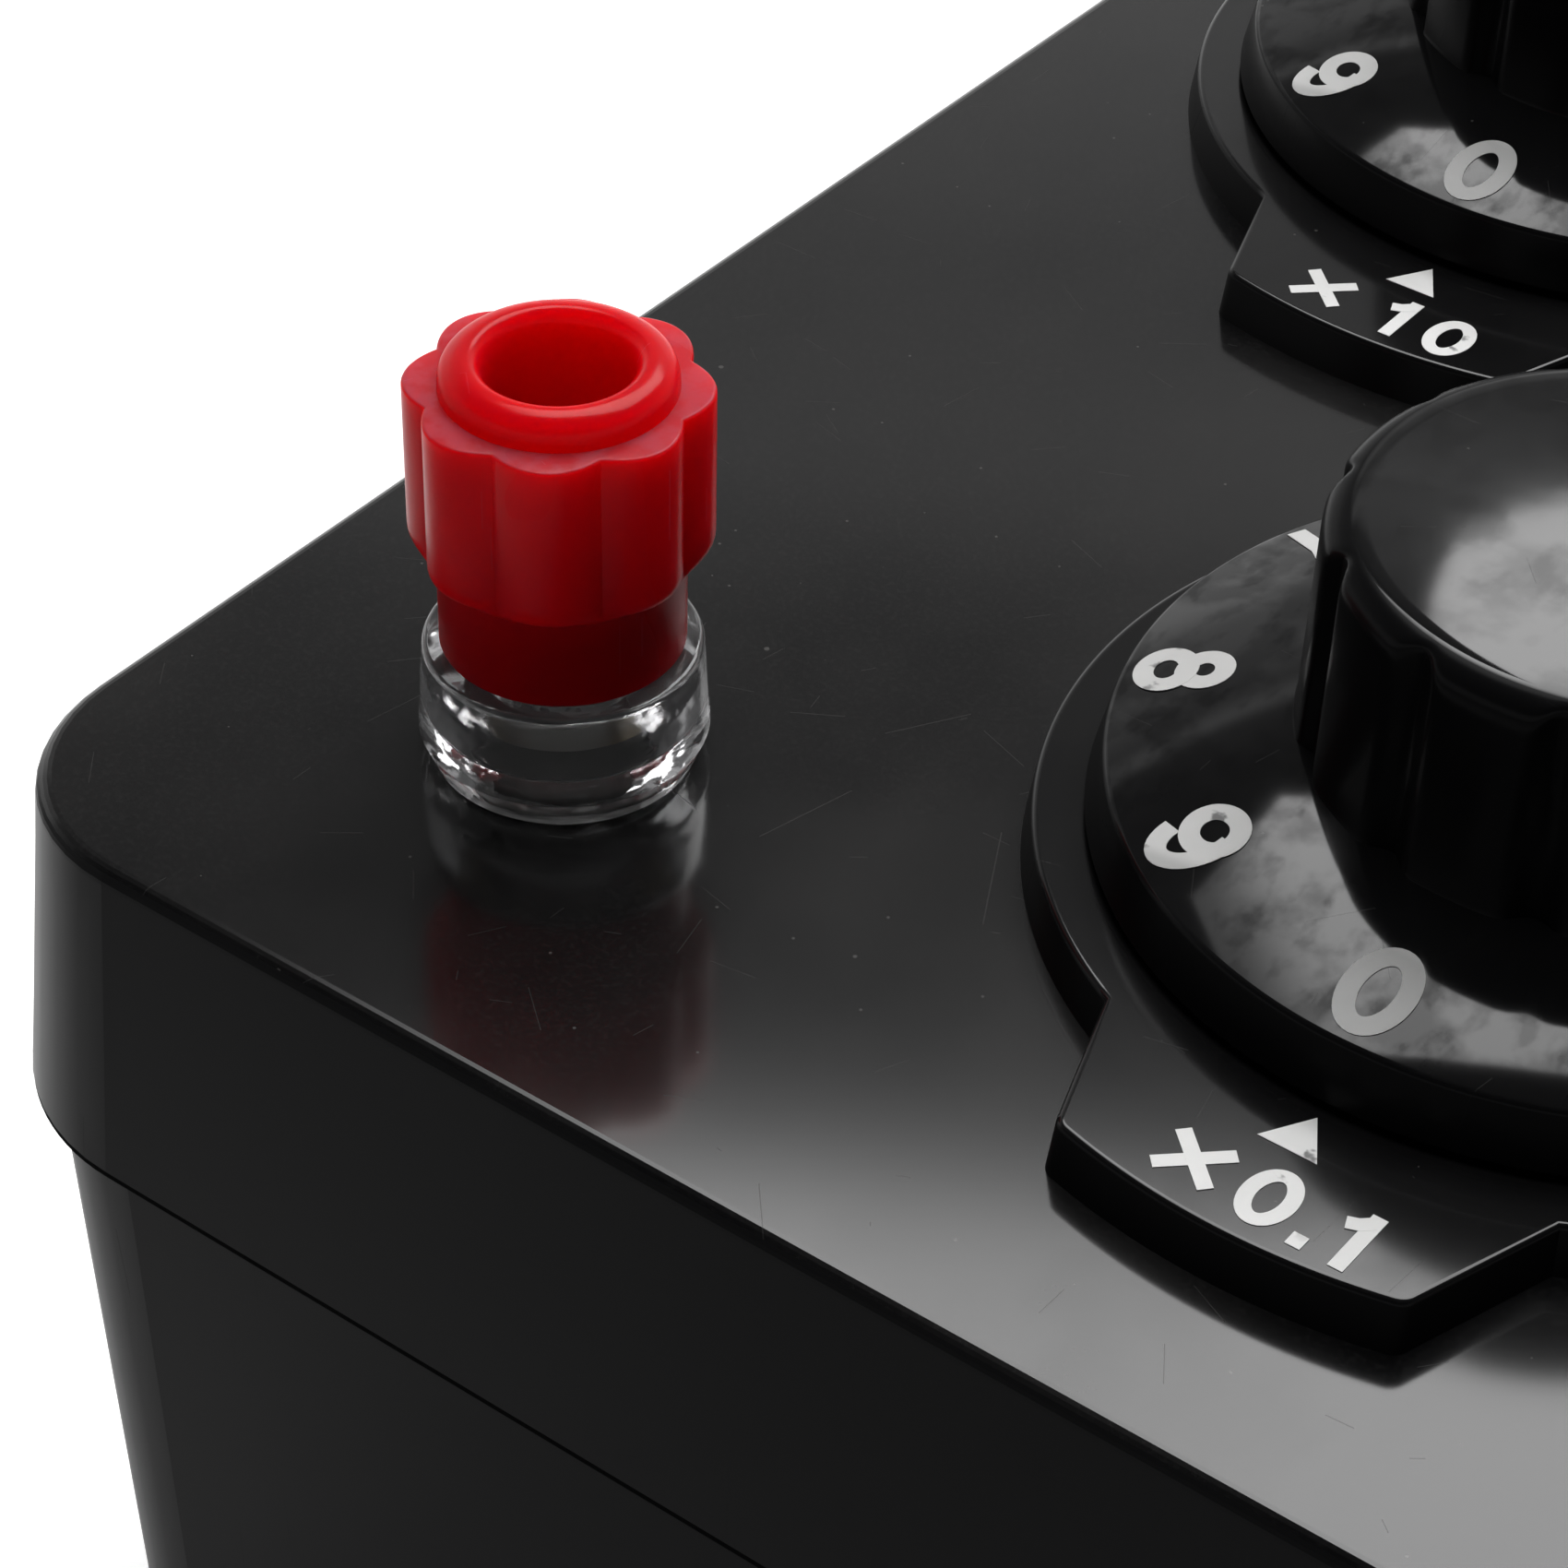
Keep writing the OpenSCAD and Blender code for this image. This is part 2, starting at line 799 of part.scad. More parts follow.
// One tube down from p, across and up to q, mitred at both bends
module wire(p, q, level) {
    run = [q[0] - p[0], q[1] - p[1], 0];
    u = run / norm(run);
    v = [-u[1], u[0], 0];
    up = [0, 0, 1];
    bends = [
        [p, u],
        [[p[0], p[1], level], u + up],
        [[q[0], q[1], level], up - u],
        [q, -u]
    ];
    sides = 10;
    polyhedron(
        points = [
            for (bend = bends)
                for (k = [0:sides - 1])
                    bend[0] + wire_r * (cos(k * 360 / sides) * bend[1] + sin(k * 360 / sides) * v)
        ],
        faces = concat(
            [[for (k = [sides - 1:-1:0]) k]],
            [
                for (j = [0:2])
                    for (k = [0:sides - 1])
                        [j * sides + k, j * sides + (k + 1) % sides,
                            (j + 1) * sides + (k + 1) % sides, (j + 1) * sides + k]
            ],
            [[for (k = [0:sides - 1]) 3 * sides + k]]
        )
    );
}

module link_wires() {
    starts = concat([tag_end(0)], [for (i = [0:4]) collector_pin(i)]);
    ends = concat([for (i = [0:4]) first_stud(i)], [tag_end(1)]);
    color("#b0342c")
        for (i = [0:5])
            wire(starts[i], ends[i], z_pin - wire_drop - i * wire_step);
}

lid();
base();
case_screws();
feet();
post_washers();
post_nuts();
post_tags();
bushings();
bushing_nuts();
switch_frames();
pillars();
wafers();
contacts();
collectors();
link_wires();
for (i = [0:1]) {
    translate(TERMINALS[i]) collar();
    translate(TERMINALS[i]) post();
    translate(TERMINALS[i]) cap();
    translate(TERMINALS[i]) insert();
}
for (i = [0:4]) {
    translate(DIALS[i]) index();
    translate(DIALS[i]) dial();
    translate(DIALS[i]) knob();
    translate(DIALS[i]) shaft();
    translate(DIALS[i]) wiper();
    translate(DIALS[i]) resistors();
}
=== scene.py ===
"""Looks of a bench decade resistance box: mouldings, printed dials, binding posts and studio."""
import json
import math

import bmesh
import bpy
from bpy.props import FloatProperty, FloatVectorProperty, IntProperty, PointerProperty
from mathutils import Matrix, Vector


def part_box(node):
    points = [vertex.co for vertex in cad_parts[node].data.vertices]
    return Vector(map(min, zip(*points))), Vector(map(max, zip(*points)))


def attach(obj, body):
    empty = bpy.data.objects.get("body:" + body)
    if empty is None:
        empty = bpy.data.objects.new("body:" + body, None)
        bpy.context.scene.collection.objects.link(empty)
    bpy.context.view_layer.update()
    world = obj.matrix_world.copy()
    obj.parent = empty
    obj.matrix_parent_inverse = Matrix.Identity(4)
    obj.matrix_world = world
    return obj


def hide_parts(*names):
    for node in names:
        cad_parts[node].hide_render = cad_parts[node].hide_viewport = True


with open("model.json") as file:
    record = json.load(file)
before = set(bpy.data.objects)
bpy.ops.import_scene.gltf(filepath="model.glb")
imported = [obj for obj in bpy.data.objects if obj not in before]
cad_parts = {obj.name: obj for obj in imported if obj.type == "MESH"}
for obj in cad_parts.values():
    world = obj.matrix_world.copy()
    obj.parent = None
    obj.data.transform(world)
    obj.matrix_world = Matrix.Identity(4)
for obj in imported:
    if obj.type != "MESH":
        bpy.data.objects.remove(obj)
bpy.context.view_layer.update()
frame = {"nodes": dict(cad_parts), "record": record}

bl_info = {
    "name": "Decade resistance box",
    "version": (1, 0, 0),
    "blender": (4, 5, 0),
    "location": "View3D > Sidebar > Decade box",
    "description": "Builds the dials, knobs, posts, finishes and studio of a bench decade box",
    "category": "Object",
}

MM = 0.001
# Distance below which two places are the same, in metres
TINY = 1e-7
# Corners of the light panel from its middle, to the right and up, in millimetres
PANEL_CORNERS = (
    (-235, 40), (-195, 8), (-112, -70), (32, -70), (34, -157), (35.5, -164), (38, -171.5), (48, -177),
    (56, -179.5), (300, -182), (300, 260), (-235, 260),
)
# Brightness of the room against the sine of the height over the horizon
ROOM_BANDS = (
    (0.42, 0.54), (0.5, 0.48), (0.55, 0.26), (0.574, 0.68), (0.59, 0.15), (0.66, 0.08), (1.0, 0.05)
)
# Point that the light panel hangs around, in millimetres
PANEL_AIM = (-30, -30, 58)
# Gloss, dust, wear, specular level, polish, smudge, patch scale and sheen edge of the black mouldings
BLACKS = {
    "lid_black": (0.12, 0.05, 0.8, 0.05, 0.95, 0.14, 40.0),
    "base_black": (0.16, 0.02, 0.4, 0.02, 0.2, 0.1, 34.0),
    "index_black": (0.11, 0.015, 0.5, 0.06, 0.78, 0.25, 90.0),
    "dial_black": (0.065, 0.006, 0.5, 0.04, 0.75, 0.75, 260.0),
    "knob_black": (0.045, 0.005, 0.5, 0.04, 0.76, 0.45, 210.0, (0.975, 0.995)),
}
# Tint and roughness of the metals, and whether they are turned
METALS = {
    "nickel_plate": ((0.66, 0.655, 0.635), 0.2, True),
    "turned_brass": ((0.78, 0.57, 0.25), 0.24, True),
    "spring_bronze": ((0.70, 0.47, 0.22), 0.28, False),
    "zinc_steel": ((0.56, 0.57, 0.58), 0.3, False),
}
# Tint, roughness, grain scale and specular level of the matt parts
PLAINS = {
    "vulcan_fibre": ((0.36, 0.2, 0.12), 0.55),
    "paper_board": ((0.26, 0.13, 0.05), 0.5),
    "nylon_rod": ((0.66, 0.63, 0.56), 0.4),
    "lacquer_tan": ((0.5, 0.32, 0.17), 0.35),
    "wire_red": ((0.42, 0.03, 0.025), 0.45),
    "foot_rubber": ((0.02, 0.02, 0.021), 0.7, 500.0),
    # Painted shadow: near-black strip under the lid's edge, standing in for the shade at the seam
    "painted_seam_shadow": ((0.0012, 0.0012, 0.0013), 0.8, 500.0, 0.02),
}
# Finish of the frame's own pieces, by their slots
SLOT_FINISHES = {
    "lid_plastic": "lid_black",
    "base_plastic": "base_black",
    "index_plastic": "index_black",
    "dial_plastic": "dial_black",
    "knob_plastic": "knob_black",
    "cap_plastic": "cap_red",
    "clear_plastic": "collar_clear",
    "plated_brass": "nickel_plate",
    "brass": "turned_brass",
    "bronze": "spring_bronze",
    "steel": "zinc_steel",
    "fibre": "vulcan_fibre",
    "phenolic": "paper_board",
    "nylon": "nylon_rod",
    "resistor": "lacquer_tan",
    "wire": "wire_red",
    "rubber": "foot_rubber",
}
# Rounding of each corner of the clear collar's section, in millimetres
COLLAR_ROUNDINGS = (0, 0.08, 0.12, 0.6, 0.3, 0.25, 0.2, 0)
MULTIPLIERS = {"tenths": "x0.1", "units": "x 1", "tens": "x 10", "hundreds": "x 100", "thousands": "x1000"}
# Widths of the narrow and wide figures against their height
FIGURE_WIDTHS = {".": 0.36, " ": 0.36, "1": 0.76, "x": 1.16}
SIDES = ("left", "right")


def low(node):
    """Lowest corner of a node of the frame."""
    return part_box(node)[0]


def high(node):
    """Highest corner of a node of the frame."""
    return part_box(node)[1]


def middle(node):
    """Middle of a node's box, which is on the axis of a round piece."""
    return (low(node) + high(node)) / 2


def half_width(node):
    """Half the width of a node along X, which is the radius of a round piece."""
    return (high(node).x - low(node).x) / 2


PANEL_Z = high("lid").z
PLATE_Z = high("index_tenths").z
DIAL_Z = low("dial_tenths").z
HUB_Z = high("dial_tenths").z
KNOB_Z = high("knob_tenths").z
CAP_Z = low("cap_left").z
CROWN_Z = high("cap_left").z
COLLAR_Z = high("collar_left").z
INSERT_Z = high("insert_left").z
KNOB_R = half_width("knob_tenths")
PLATE_R = half_width("index_tenths")
TAB_R = middle("dial_tenths").y - low("index_tenths").y


def length(label, note, value):
    """A length in metres, given in millimetres."""
    return FloatProperty(name=label, description=note, default=value * MM, unit="LENGTH", precision=5)


def angle(label, note, degrees):
    """An angle, given in degrees."""
    return FloatProperty(name=label, description=note, default=math.radians(degrees), subtype="ANGLE")


def colour(label, note, rgb):
    """A colour in scene linear values."""
    return FloatVectorProperty(
        name=label, description=note, default=rgb, size=3, min=0, max=1, subtype="COLOR"
    )


def number(label, note, value):
    """A plain number."""
    return FloatProperty(name=label, description=note, default=value)


class BoxCaseSizes(bpy.types.PropertyGroup):
    """Sizes of the painted shadow strip along the seam between lid and base"""
    lid_corner: length("Lid corner", "Corner radius at the foot of the lid", 10)
    # The strip is painted shadow, a dark band where the lid's edge shades the base.
    shadow_strip_inset: length("Bead inset", "Distance of the bead from the lid's outer face", 0.02)
    shadow_strip_height: length("Bead height", "Height of the dark bead", 0.3)
    shadow_strip_width: length("Bead width", "Width of the dark bead", 0.6)


class BoxDialSizes(bpy.types.PropertyGroup):
    """Sizes of the dials, their plates and knobs"""
    rim_radius: length("Rim radius", "Dial radius at the rim of the number face", 19.1)
    rim_height: length("Rim height", "Height of the rim above the dial's underside", 2.6)
    rim_rounding: length("Rim rounding", "Rounding of the rim's upper edge", 0.35)
    foot_rounding: length("Foot rounding", "Rounding of the dial's lower edge", 0.15)
    hub_inset: length("Hub inset", "Width of the hub's face under the knob's edge", 1.0)
    plate_rounding: length("Plate rounding", "Rounding of the plate's upper edge", 0.22)
    plate_draft: length("Plate draft", "Slope of the plate's edge", 0.4)
    tab_in: length("Tab root", "Half width of the tab where it leaves the plate", 9.7)
    tab_out: length("Tab end", "Half width of the tab at its outer edge", 7.4)
    tab_rounding: length("Tab corner", "Rounding of the tab's corners", 0.8)
    knob_taper: length("Knob taper", "Radius lost from the knob's foot to its top", 0.2)
    knob_rounding: length("Knob rounding", "Rounding of the knob's top edge", 1.3)
    flutes: IntProperty(name="Flutes", description="Grip grooves round a knob", default=12, min=6, max=16)
    flute_depth: length("Flute depth", "Depth of a grip groove", 0.65)
    flute_width: length("Flute width", "Half width of a grip groove", 1.45)
    flute_blend: length("Flute blend", "Easing of a groove into the knob's top edge", 0.25)
    flute_turn: angle("Flute turn", "Turn of the grooves from the numbers", 15)


class BoxPrintSizes(bpy.types.PropertyGroup):
    """Sizes of the printed numbers and pointers"""
    digit_height: length("Digit height", "Height of a dial number", 4.15)
    digit_radius: length("Digit circle", "Distance of a dial number's middle from the axis", 16.6)
    stroke: number("Stroke", "Stroke width of a figure against its height", 0.2)
    mark_height: length("Multiplier height", "Height of a multiplier's figures", 3.1)
    mark_radius: length("Multiplier line", "Distance of the multiplier's middle from the axis", 24.6)
    mark_shift: length("Multiplier shift", "Shift of the multiplier's middle to the right", 0.75)
    pointer_tip: length("Pointer tip", "Distance of the pointer's tip from the axis", 20.1)
    pointer_length: length("Pointer length", "Length of the pointer", 2.05)
    pointer_width: length("Pointer width", "Width of the pointer's base", 2.5)
    film: length("Ink film", "Height of the ink over the moulding", 0.03)


class BoxPostSizes(bpy.types.PropertyGroup):
    """Sizes of the binding posts"""
    lobes: IntProperty(name="Ribs", description="Ribs round the cap", default=8, min=6, max=10)
    lobe_radius: length("Rib radius", "Radius over the ribs", 6.0)
    valley_radius: length("Valley radius", "Radius between the ribs", 5.3)
    lobe_turn: angle("Rib turn", "Turn of the ribs at rest", 34)
    neck_radius: length("Neck radius", "Radius of the plain neck", 4.9)
    neck_height: length("Neck height", "Height of the plain neck", 4.1)
    neck_chamfer: length("Neck chamfer", "Chamfer round the neck's foot", 0.15)
    ease: length("Ease", "Small step that eases one face into the next", 0.1)
    shoulder_height: length("Shoulder height", "Height of the shoulder from neck to ribs", 0.3)
    rib_foot: length("Rib foot", "Height over which a rib grows from the shoulder", 0.9)
    edge_rounding: length("Edge rounding", "Rounding of the cap's upper edge", 0.16)
    rim_height: length("Ring height", "Height of the ring round the plug hole", 1.25)
    rim_radius: length("Ring radius", "Radius of the ring's crest", 3.5)
    rim_outer: length("Ring outer width", "Width of the ring outside its crest", 1.13)
    rim_inner: length("Ring inner width", "Width of the ring inside its crest", 0.6)
    mouth_radius: length("Mouth radius", "Radius of the plug hole", 2.9)
    mouth_edge: length("Mouth edge", "Depth under the crown where the hole's wall turns straight", 1.0)
    bore_radius: length("Bore radius", "Radius of the bore for the brass insert", 4.25)
    collar_gap: length("Collar gap", "Gap between the collar and the panel", 0.02)
    collar_radius: length("Collar radius", "Radius of the clear collar at its top", 5.6)
    flange_radius: length("Flange radius", "Radius of the collar's flange", 5.85)
    flange_height: length("Flange height", "Height of the collar's flange", 2.0)
    flange_ease: length("Flange ease", "Radius lost up the flange", 0.06)
    chamfer_width: length("Chamfer width", "Width of the chamfer round the flange's foot", 0.5)
    chamfer_height: length("Chamfer height", "Height of the chamfer round the flange's foot", 1.3)
    collar_bore: length("Collar bore", "Radius of the bore in the collar", 4.0)
    web_bore: length("Web bore", "Radius of the hole in the collar's web", 3.1)
    web_height: length("Web height", "Thickness of the collar's web", 1.5)


class BoxColours(bpy.types.PropertyGroup):
    """Colours of the finishes"""
    black: colour("Black", "Moulded case, dials and knobs", (0.0045, 0.0045, 0.0048))
    red: colour("Red", "Binding post caps", (0.72, 0.002, 0.008))
    # Pinkish red of the caps' scratches, also used as a painted sheen on their flat tops.
    red_scratch_and_sheen: colour("Red scratch", "Scratched binding post caps", (0.5, 0.09, 0.125))
    ink: colour("Ink", "Printed numbers", (0.8, 0.8, 0.79))
    dust: colour("Dust", "Dust on upward faces", (0.30, 0.29, 0.28))


class BoxStudio(bpy.types.PropertyGroup):
    """Camera and light"""
    lens: number("Lens", "Focal length in millimetres on a 36 mm sensor", 100.29)
    azimuth: angle("Azimuth", "Camera direction from the front towards the right", 36.4)
    elevation: angle("Elevation", "Camera height over the panel", 39.19)
    roll: angle("Roll", "Camera roll", 1.32)
    distance: length("Distance", "Camera distance from its aim", 173.97)
    aim: FloatVectorProperty(
        name="Aim", description="Aim from the left post's foot", size=3, unit="LENGTH",
        default=(8.59 * MM, 3.26 * MM, 0.0),
    )
    panel_azimuth: angle("Panel azimuth", "Direction of the light panel from +X", 120)
    panel_elevation: angle("Panel elevation", "Height of the light panel", 52)
    panel_distance: length("Panel distance", "Distance of the light panel", 600)
    panel_glow: number("Panel glow", "Brightness of the light panel", 6.0)
    panel_fade_start: length("Fade start", "Where the panel starts to fade, left of its middle", 110)
    panel_fade_end: length("Fade end", "Where the panel is at its dimmest, left of its middle", 225)
    overhead_height: length("Overhead height", "Height of the overhead lamp over the panel", 700)
    overhead_size: length("Overhead size", "Width of the overhead lamp", 300)
    overhead_power: number("Overhead power", "Overhead lamp's power in watts", 1.6)
    floor_lift: number("Floor lift", "Brightness added to the floor behind the box", 0.5)
    floor_near: length("Floor near", "Distance at which the floor's lift starts to grow", 250)
    floor_far: length("Floor far", "Distance at which the floor is all lift", 900)
    front_share: number("Front light", "Share of the room light that comes from the front", 0.06)


GROUPS = {
    "box_case": BoxCaseSizes,
    "box_dials": BoxDialSizes,
    "box_print": BoxPrintSizes,
    "box_posts": BoxPostSizes,
    "box_colours": BoxColours,
    "box_studio": BoxStudio,
}


# Modelling helpers

def start_clean():
    """Object mode with nothing selected."""
    if bpy.context.object and bpy.context.object.mode != "OBJECT":
        bpy.ops.object.mode_set(mode="OBJECT")
    bpy.ops.object.select_all(action="DESELECT")


def take(obj):
    """Object mode with one object alone selected."""
    start_clean()
    obj.select_set(True)
    bpy.context.view_layer.objects.active = obj


def select_verts(obj, wanted):
    """Selects the vertices of the edited mesh for which wanted(vertex) holds."""
    mesh = bmesh.from_edit_mesh(obj.data)
    for vert in mesh.verts:
        vert.select_set(False)
    for vert in mesh.verts:
        if wanted(vert):
            vert.select_set(True)
    mesh.select_flush(True)
    bmesh.update_edit_mesh(obj.data)


def select_top(obj, level):
    """Selects the faces of the edited mesh that lie flat at a level."""
    bpy.ops.mesh.select_mode(type="FACE")
    mesh = bmesh.from_edit_mesh(obj.data)
    for face in mesh.faces:
        face.select_set(all(abs(vert.co.z - level) < TINY for vert in face.verts))
    bmesh.update_edit_mesh(obj.data)


def arc(x, z, radius, start, end, steps):
    """Points of an arc in a half section."""
    turns = [start + (end - start) * i / steps for i in range(steps + 1)]
    return [(x + radius * math.cos(turn), z + radius * math.sin(turn)) for turn in turns]


def rounded(points, radii, steps=5):
    """A half section with its corners rounded; a radius of 0 keeps the corner."""
    out = []
    for i, (point, radius) in enumerate(zip(points, radii)):
        here = Vector(point)
        if radius == 0:
            out.append(tuple(here))
            continue
        before = (Vector(points[i - 1]) - here).normalized()
        after = (Vector(points[(i + 1) % len(points)]) - here).normalized()
        turn = before.angle(after)
        reach = radius / math.tan(turn / 2)
        centre = here + (before + after).normalized() * (radius / math.sin(turn / 2))
        first = (here + before * reach - centre).normalized()
        last = (here + after * reach - centre).normalized()
        for k in range(steps + 1):
            out.append(tuple(centre + first.slerp(last, k / steps).normalized() * radius))
    return out


def smooth(obj, degrees=32):
    """Smooth shading that keeps the edges sharper than an angle."""
    take(obj)
    bpy.ops.object.shade_smooth_by_angle(angle=math.radians(degrees))


def clean_mesh(obj):
    """Merges doubles and turns the faces outwards."""
    take(obj)
    bpy.ops.object.mode_set(mode="EDIT")
    bpy.ops.mesh.select_all(action="SELECT")
    bpy.ops.mesh.remove_doubles(threshold=1e-6)
    bpy.ops.mesh.normals_make_consistent(inside=False)
    bpy.ops.object.mode_set(mode="OBJECT")


def trace(name, points):
    """A wire through points, drawn by extruding one vertex, in edit mode and selected."""
    start_clean()
    bpy.ops.mesh.primitive_plane_add(size=MM)
    obj = bpy.context.object
    obj.name = name
    bpy.ops.object.mode_set(mode="EDIT")
    bpy.ops.mesh.select_mode(type="VERT")
    bpy.ops.mesh.select_all(action="SELECT")
    bpy.ops.mesh.merge(type="CENTER")
    bpy.ops.transform.translate(value=points[0])
    for here, there in zip(points, points[1:]):
        step = Vector(there) - Vector(here)
        bpy.ops.mesh.extrude_vertices_move(TRANSFORM_OT_translate={"value": step})
    bpy.ops.mesh.select_all(action="SELECT")
    return obj


def sheet(name, points):
    """A flat face through points, in edit mode."""
    obj = trace(name, points)
    bpy.ops.mesh.edge_face_add()
    return obj


def strip(name, points, rise):
    """A standing strip through points, in edit mode."""
    obj = trace(name, points)
    bpy.ops.mesh.remove_doubles(threshold=TINY)
    bpy.ops.mesh.extrude_edges_move(TRANSFORM_OT_translate={"value": (0, 0, rise)})
    return obj


def thicken(obj, width, offset, even):
    """Gives a strip its width, to one side or to both."""
    solid = obj.modifiers.new("width", "SOLIDIFY")
    solid.thickness = width
    solid.offset = offset
    solid.use_even_offset = even
    bpy.ops.object.modifier_apply(modifier=solid.name)


def lathe(name, section, steps):
    """Spins a closed half section of (radius, height) about the Z axis."""
    obj = trace(name, [(x, 0.0, z) for x, z in section + section[:1]])
    bpy.ops.mesh.spin(steps=steps, angle=2 * math.pi, center=(0, 0, 0), axis=(0, 0, 1))
    clean_mesh(obj)
    return obj


def run_out(edge, groove, blend):
    """The smaller of two radii, eased where they are about the same."""
    share = min(1.0, max(0.0, 0.5 + 0.5 * (edge - groove) / blend))
    return edge + (groove - edge) * share - blend * share * (1 - share)


def fluted(name, flutes, classes, rings):
    """Lofts a ring of flutes upwards by extruding it: each ring is (height, radius of each class).

    A vertex's class is its angle from the middle of its rib, 0 there and classes - 1 between two ribs."""
    count = flutes * 2 * (classes - 1)
    pitch = 2 * math.pi / count
    start_clean()
    bpy.ops.mesh.primitive_circle_add(vertices=count, radius=rings[0][1][0])
    obj = bpy.context.object
    obj.name = name
    bpy.ops.object.mode_set(mode="EDIT")
    bpy.ops.mesh.select_mode(type="VERT")

    def place_of(vert):
        step = round(math.atan2(vert.co.y, vert.co.x) / pitch) % (2 * (classes - 1))
        return min(step, 2 * (classes - 1) - step)

    bpy.ops.mesh.select_all(action="SELECT")
    height = 0.0
    for index, (level, radii) in enumerate(rings):
        if index:
            bpy.ops.mesh.extrude_edges_move(TRANSFORM_OT_translate={"value": (0, 0, level - height)})
        else:
            bpy.ops.transform.translate(value=(0, 0, level))
        height = level
        mesh = bmesh.from_edit_mesh(obj.data)
        fresh = [vert for vert in mesh.verts if vert.select]
        groups = {}
        for vert in fresh:
            groups.setdefault(place_of(vert), set()).add(vert.index)
        now = {place_of(vert): math.hypot(vert.co.x, vert.co.y) for vert in reversed(fresh)}
        whole = set().union(*groups.values())
        if len({round(radii[k] / now[k], 9) for k in groups}) == 1:
            scale = radii[0] / now[0]
            bpy.ops.transform.resize(value=(scale, scale, 1), center_override=(0, 0, 0))
            continue
        for k, group in groups.items():
            scale = radii[k] / now[k]
            if abs(scale - 1) > TINY:
                select_verts(obj, lambda vert: vert.index in group)
                bpy.ops.transform.resize(value=(scale, scale, 1), center_override=(0, 0, 0))
        select_verts(obj, lambda vert: vert.index in whole)
    return obj


def turned(obj, by):
    """Turns a finished mesh about the Z axis."""
    take(obj)
    obj.rotation_euler.z = by
    bpy.ops.object.transform_apply(location=False, rotation=True, scale=False)


def copy_to(pattern, name, place):
    """A copy of a pattern with its own mesh, moved to its place in the mesh."""
    obj = pattern.copy()
    obj.data = pattern.data.copy()
    obj.name = name
    obj.data.name = name
    bpy.context.scene.collection.objects.link(obj)
    obj.data.transform(Matrix.Translation(place))
    return obj


def paint(obj, finish):
    """Gives a piece one finish made earlier."""
    obj.data.materials.clear()
    obj.data.materials.append(bpy.data.materials[finish])


def fit_out(obj, body, finish, node=None):
    """Sets a finished piece on its body, with its finish, in place of a node."""
    paint(obj, finish)
    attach(obj, body)
    if node:
        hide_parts(node)


def set_out(pattern, keys, name, body, finish, axis, node=None):
    """Copies a pattern to the axis of each key's piece, in place of a node, and removes the pattern."""
    for key in keys:
        at = middle(f"{axis}_{key}")
        piece = copy_to(pattern, f"{name}_{key}", (at.x, at.y, 0))
        fit_out(piece, body.format(key), finish, node and f"{node}_{key}")
    bpy.data.objects.remove(pattern, do_unlink=True)


# Finishes

class Value:
    """A number or vector of a shader, for use in expressions."""

    def __init__(self, finish, socket):
        self.finish = finish
        self.socket = socket

    def _math(self, operation, first, second):
        return self.finish.node("Math", {0: first, 1: second}, operation=operation)

    def __add__(self, other):
        return self._math("ADD", self, other)

    __radd__ = __add__

    def __sub__(self, other):
        return self._math("SUBTRACT", self, other)

    def __rsub__(self, other):
        return self._math("SUBTRACT", other, self)

    def __mul__(self, other):
        return self._math("MULTIPLY", self, other)

    __rmul__ = __mul__

    def __gt__(self, other):
        return self._math("GREATER_THAN", self, other)

    def __lt__(self, other):
        return self._math("LESS_THAN", self, other)

    def size(self):
        """Without its sign."""
        return self._math("ABSOLUTE", self, 0.0)

    def clamp(self):
        """Kept between 0 and 1."""
        return self.finish.node("Clamp", {"Value": self})

    def over(self, start, end):
        """0 at start, 1 at end, smooth between."""
        limits = {"Value": self, "From Min": start, "From Max": end}
        return self.finish.node("MapRange", limits, interpolation_type="SMOOTHSTEP")


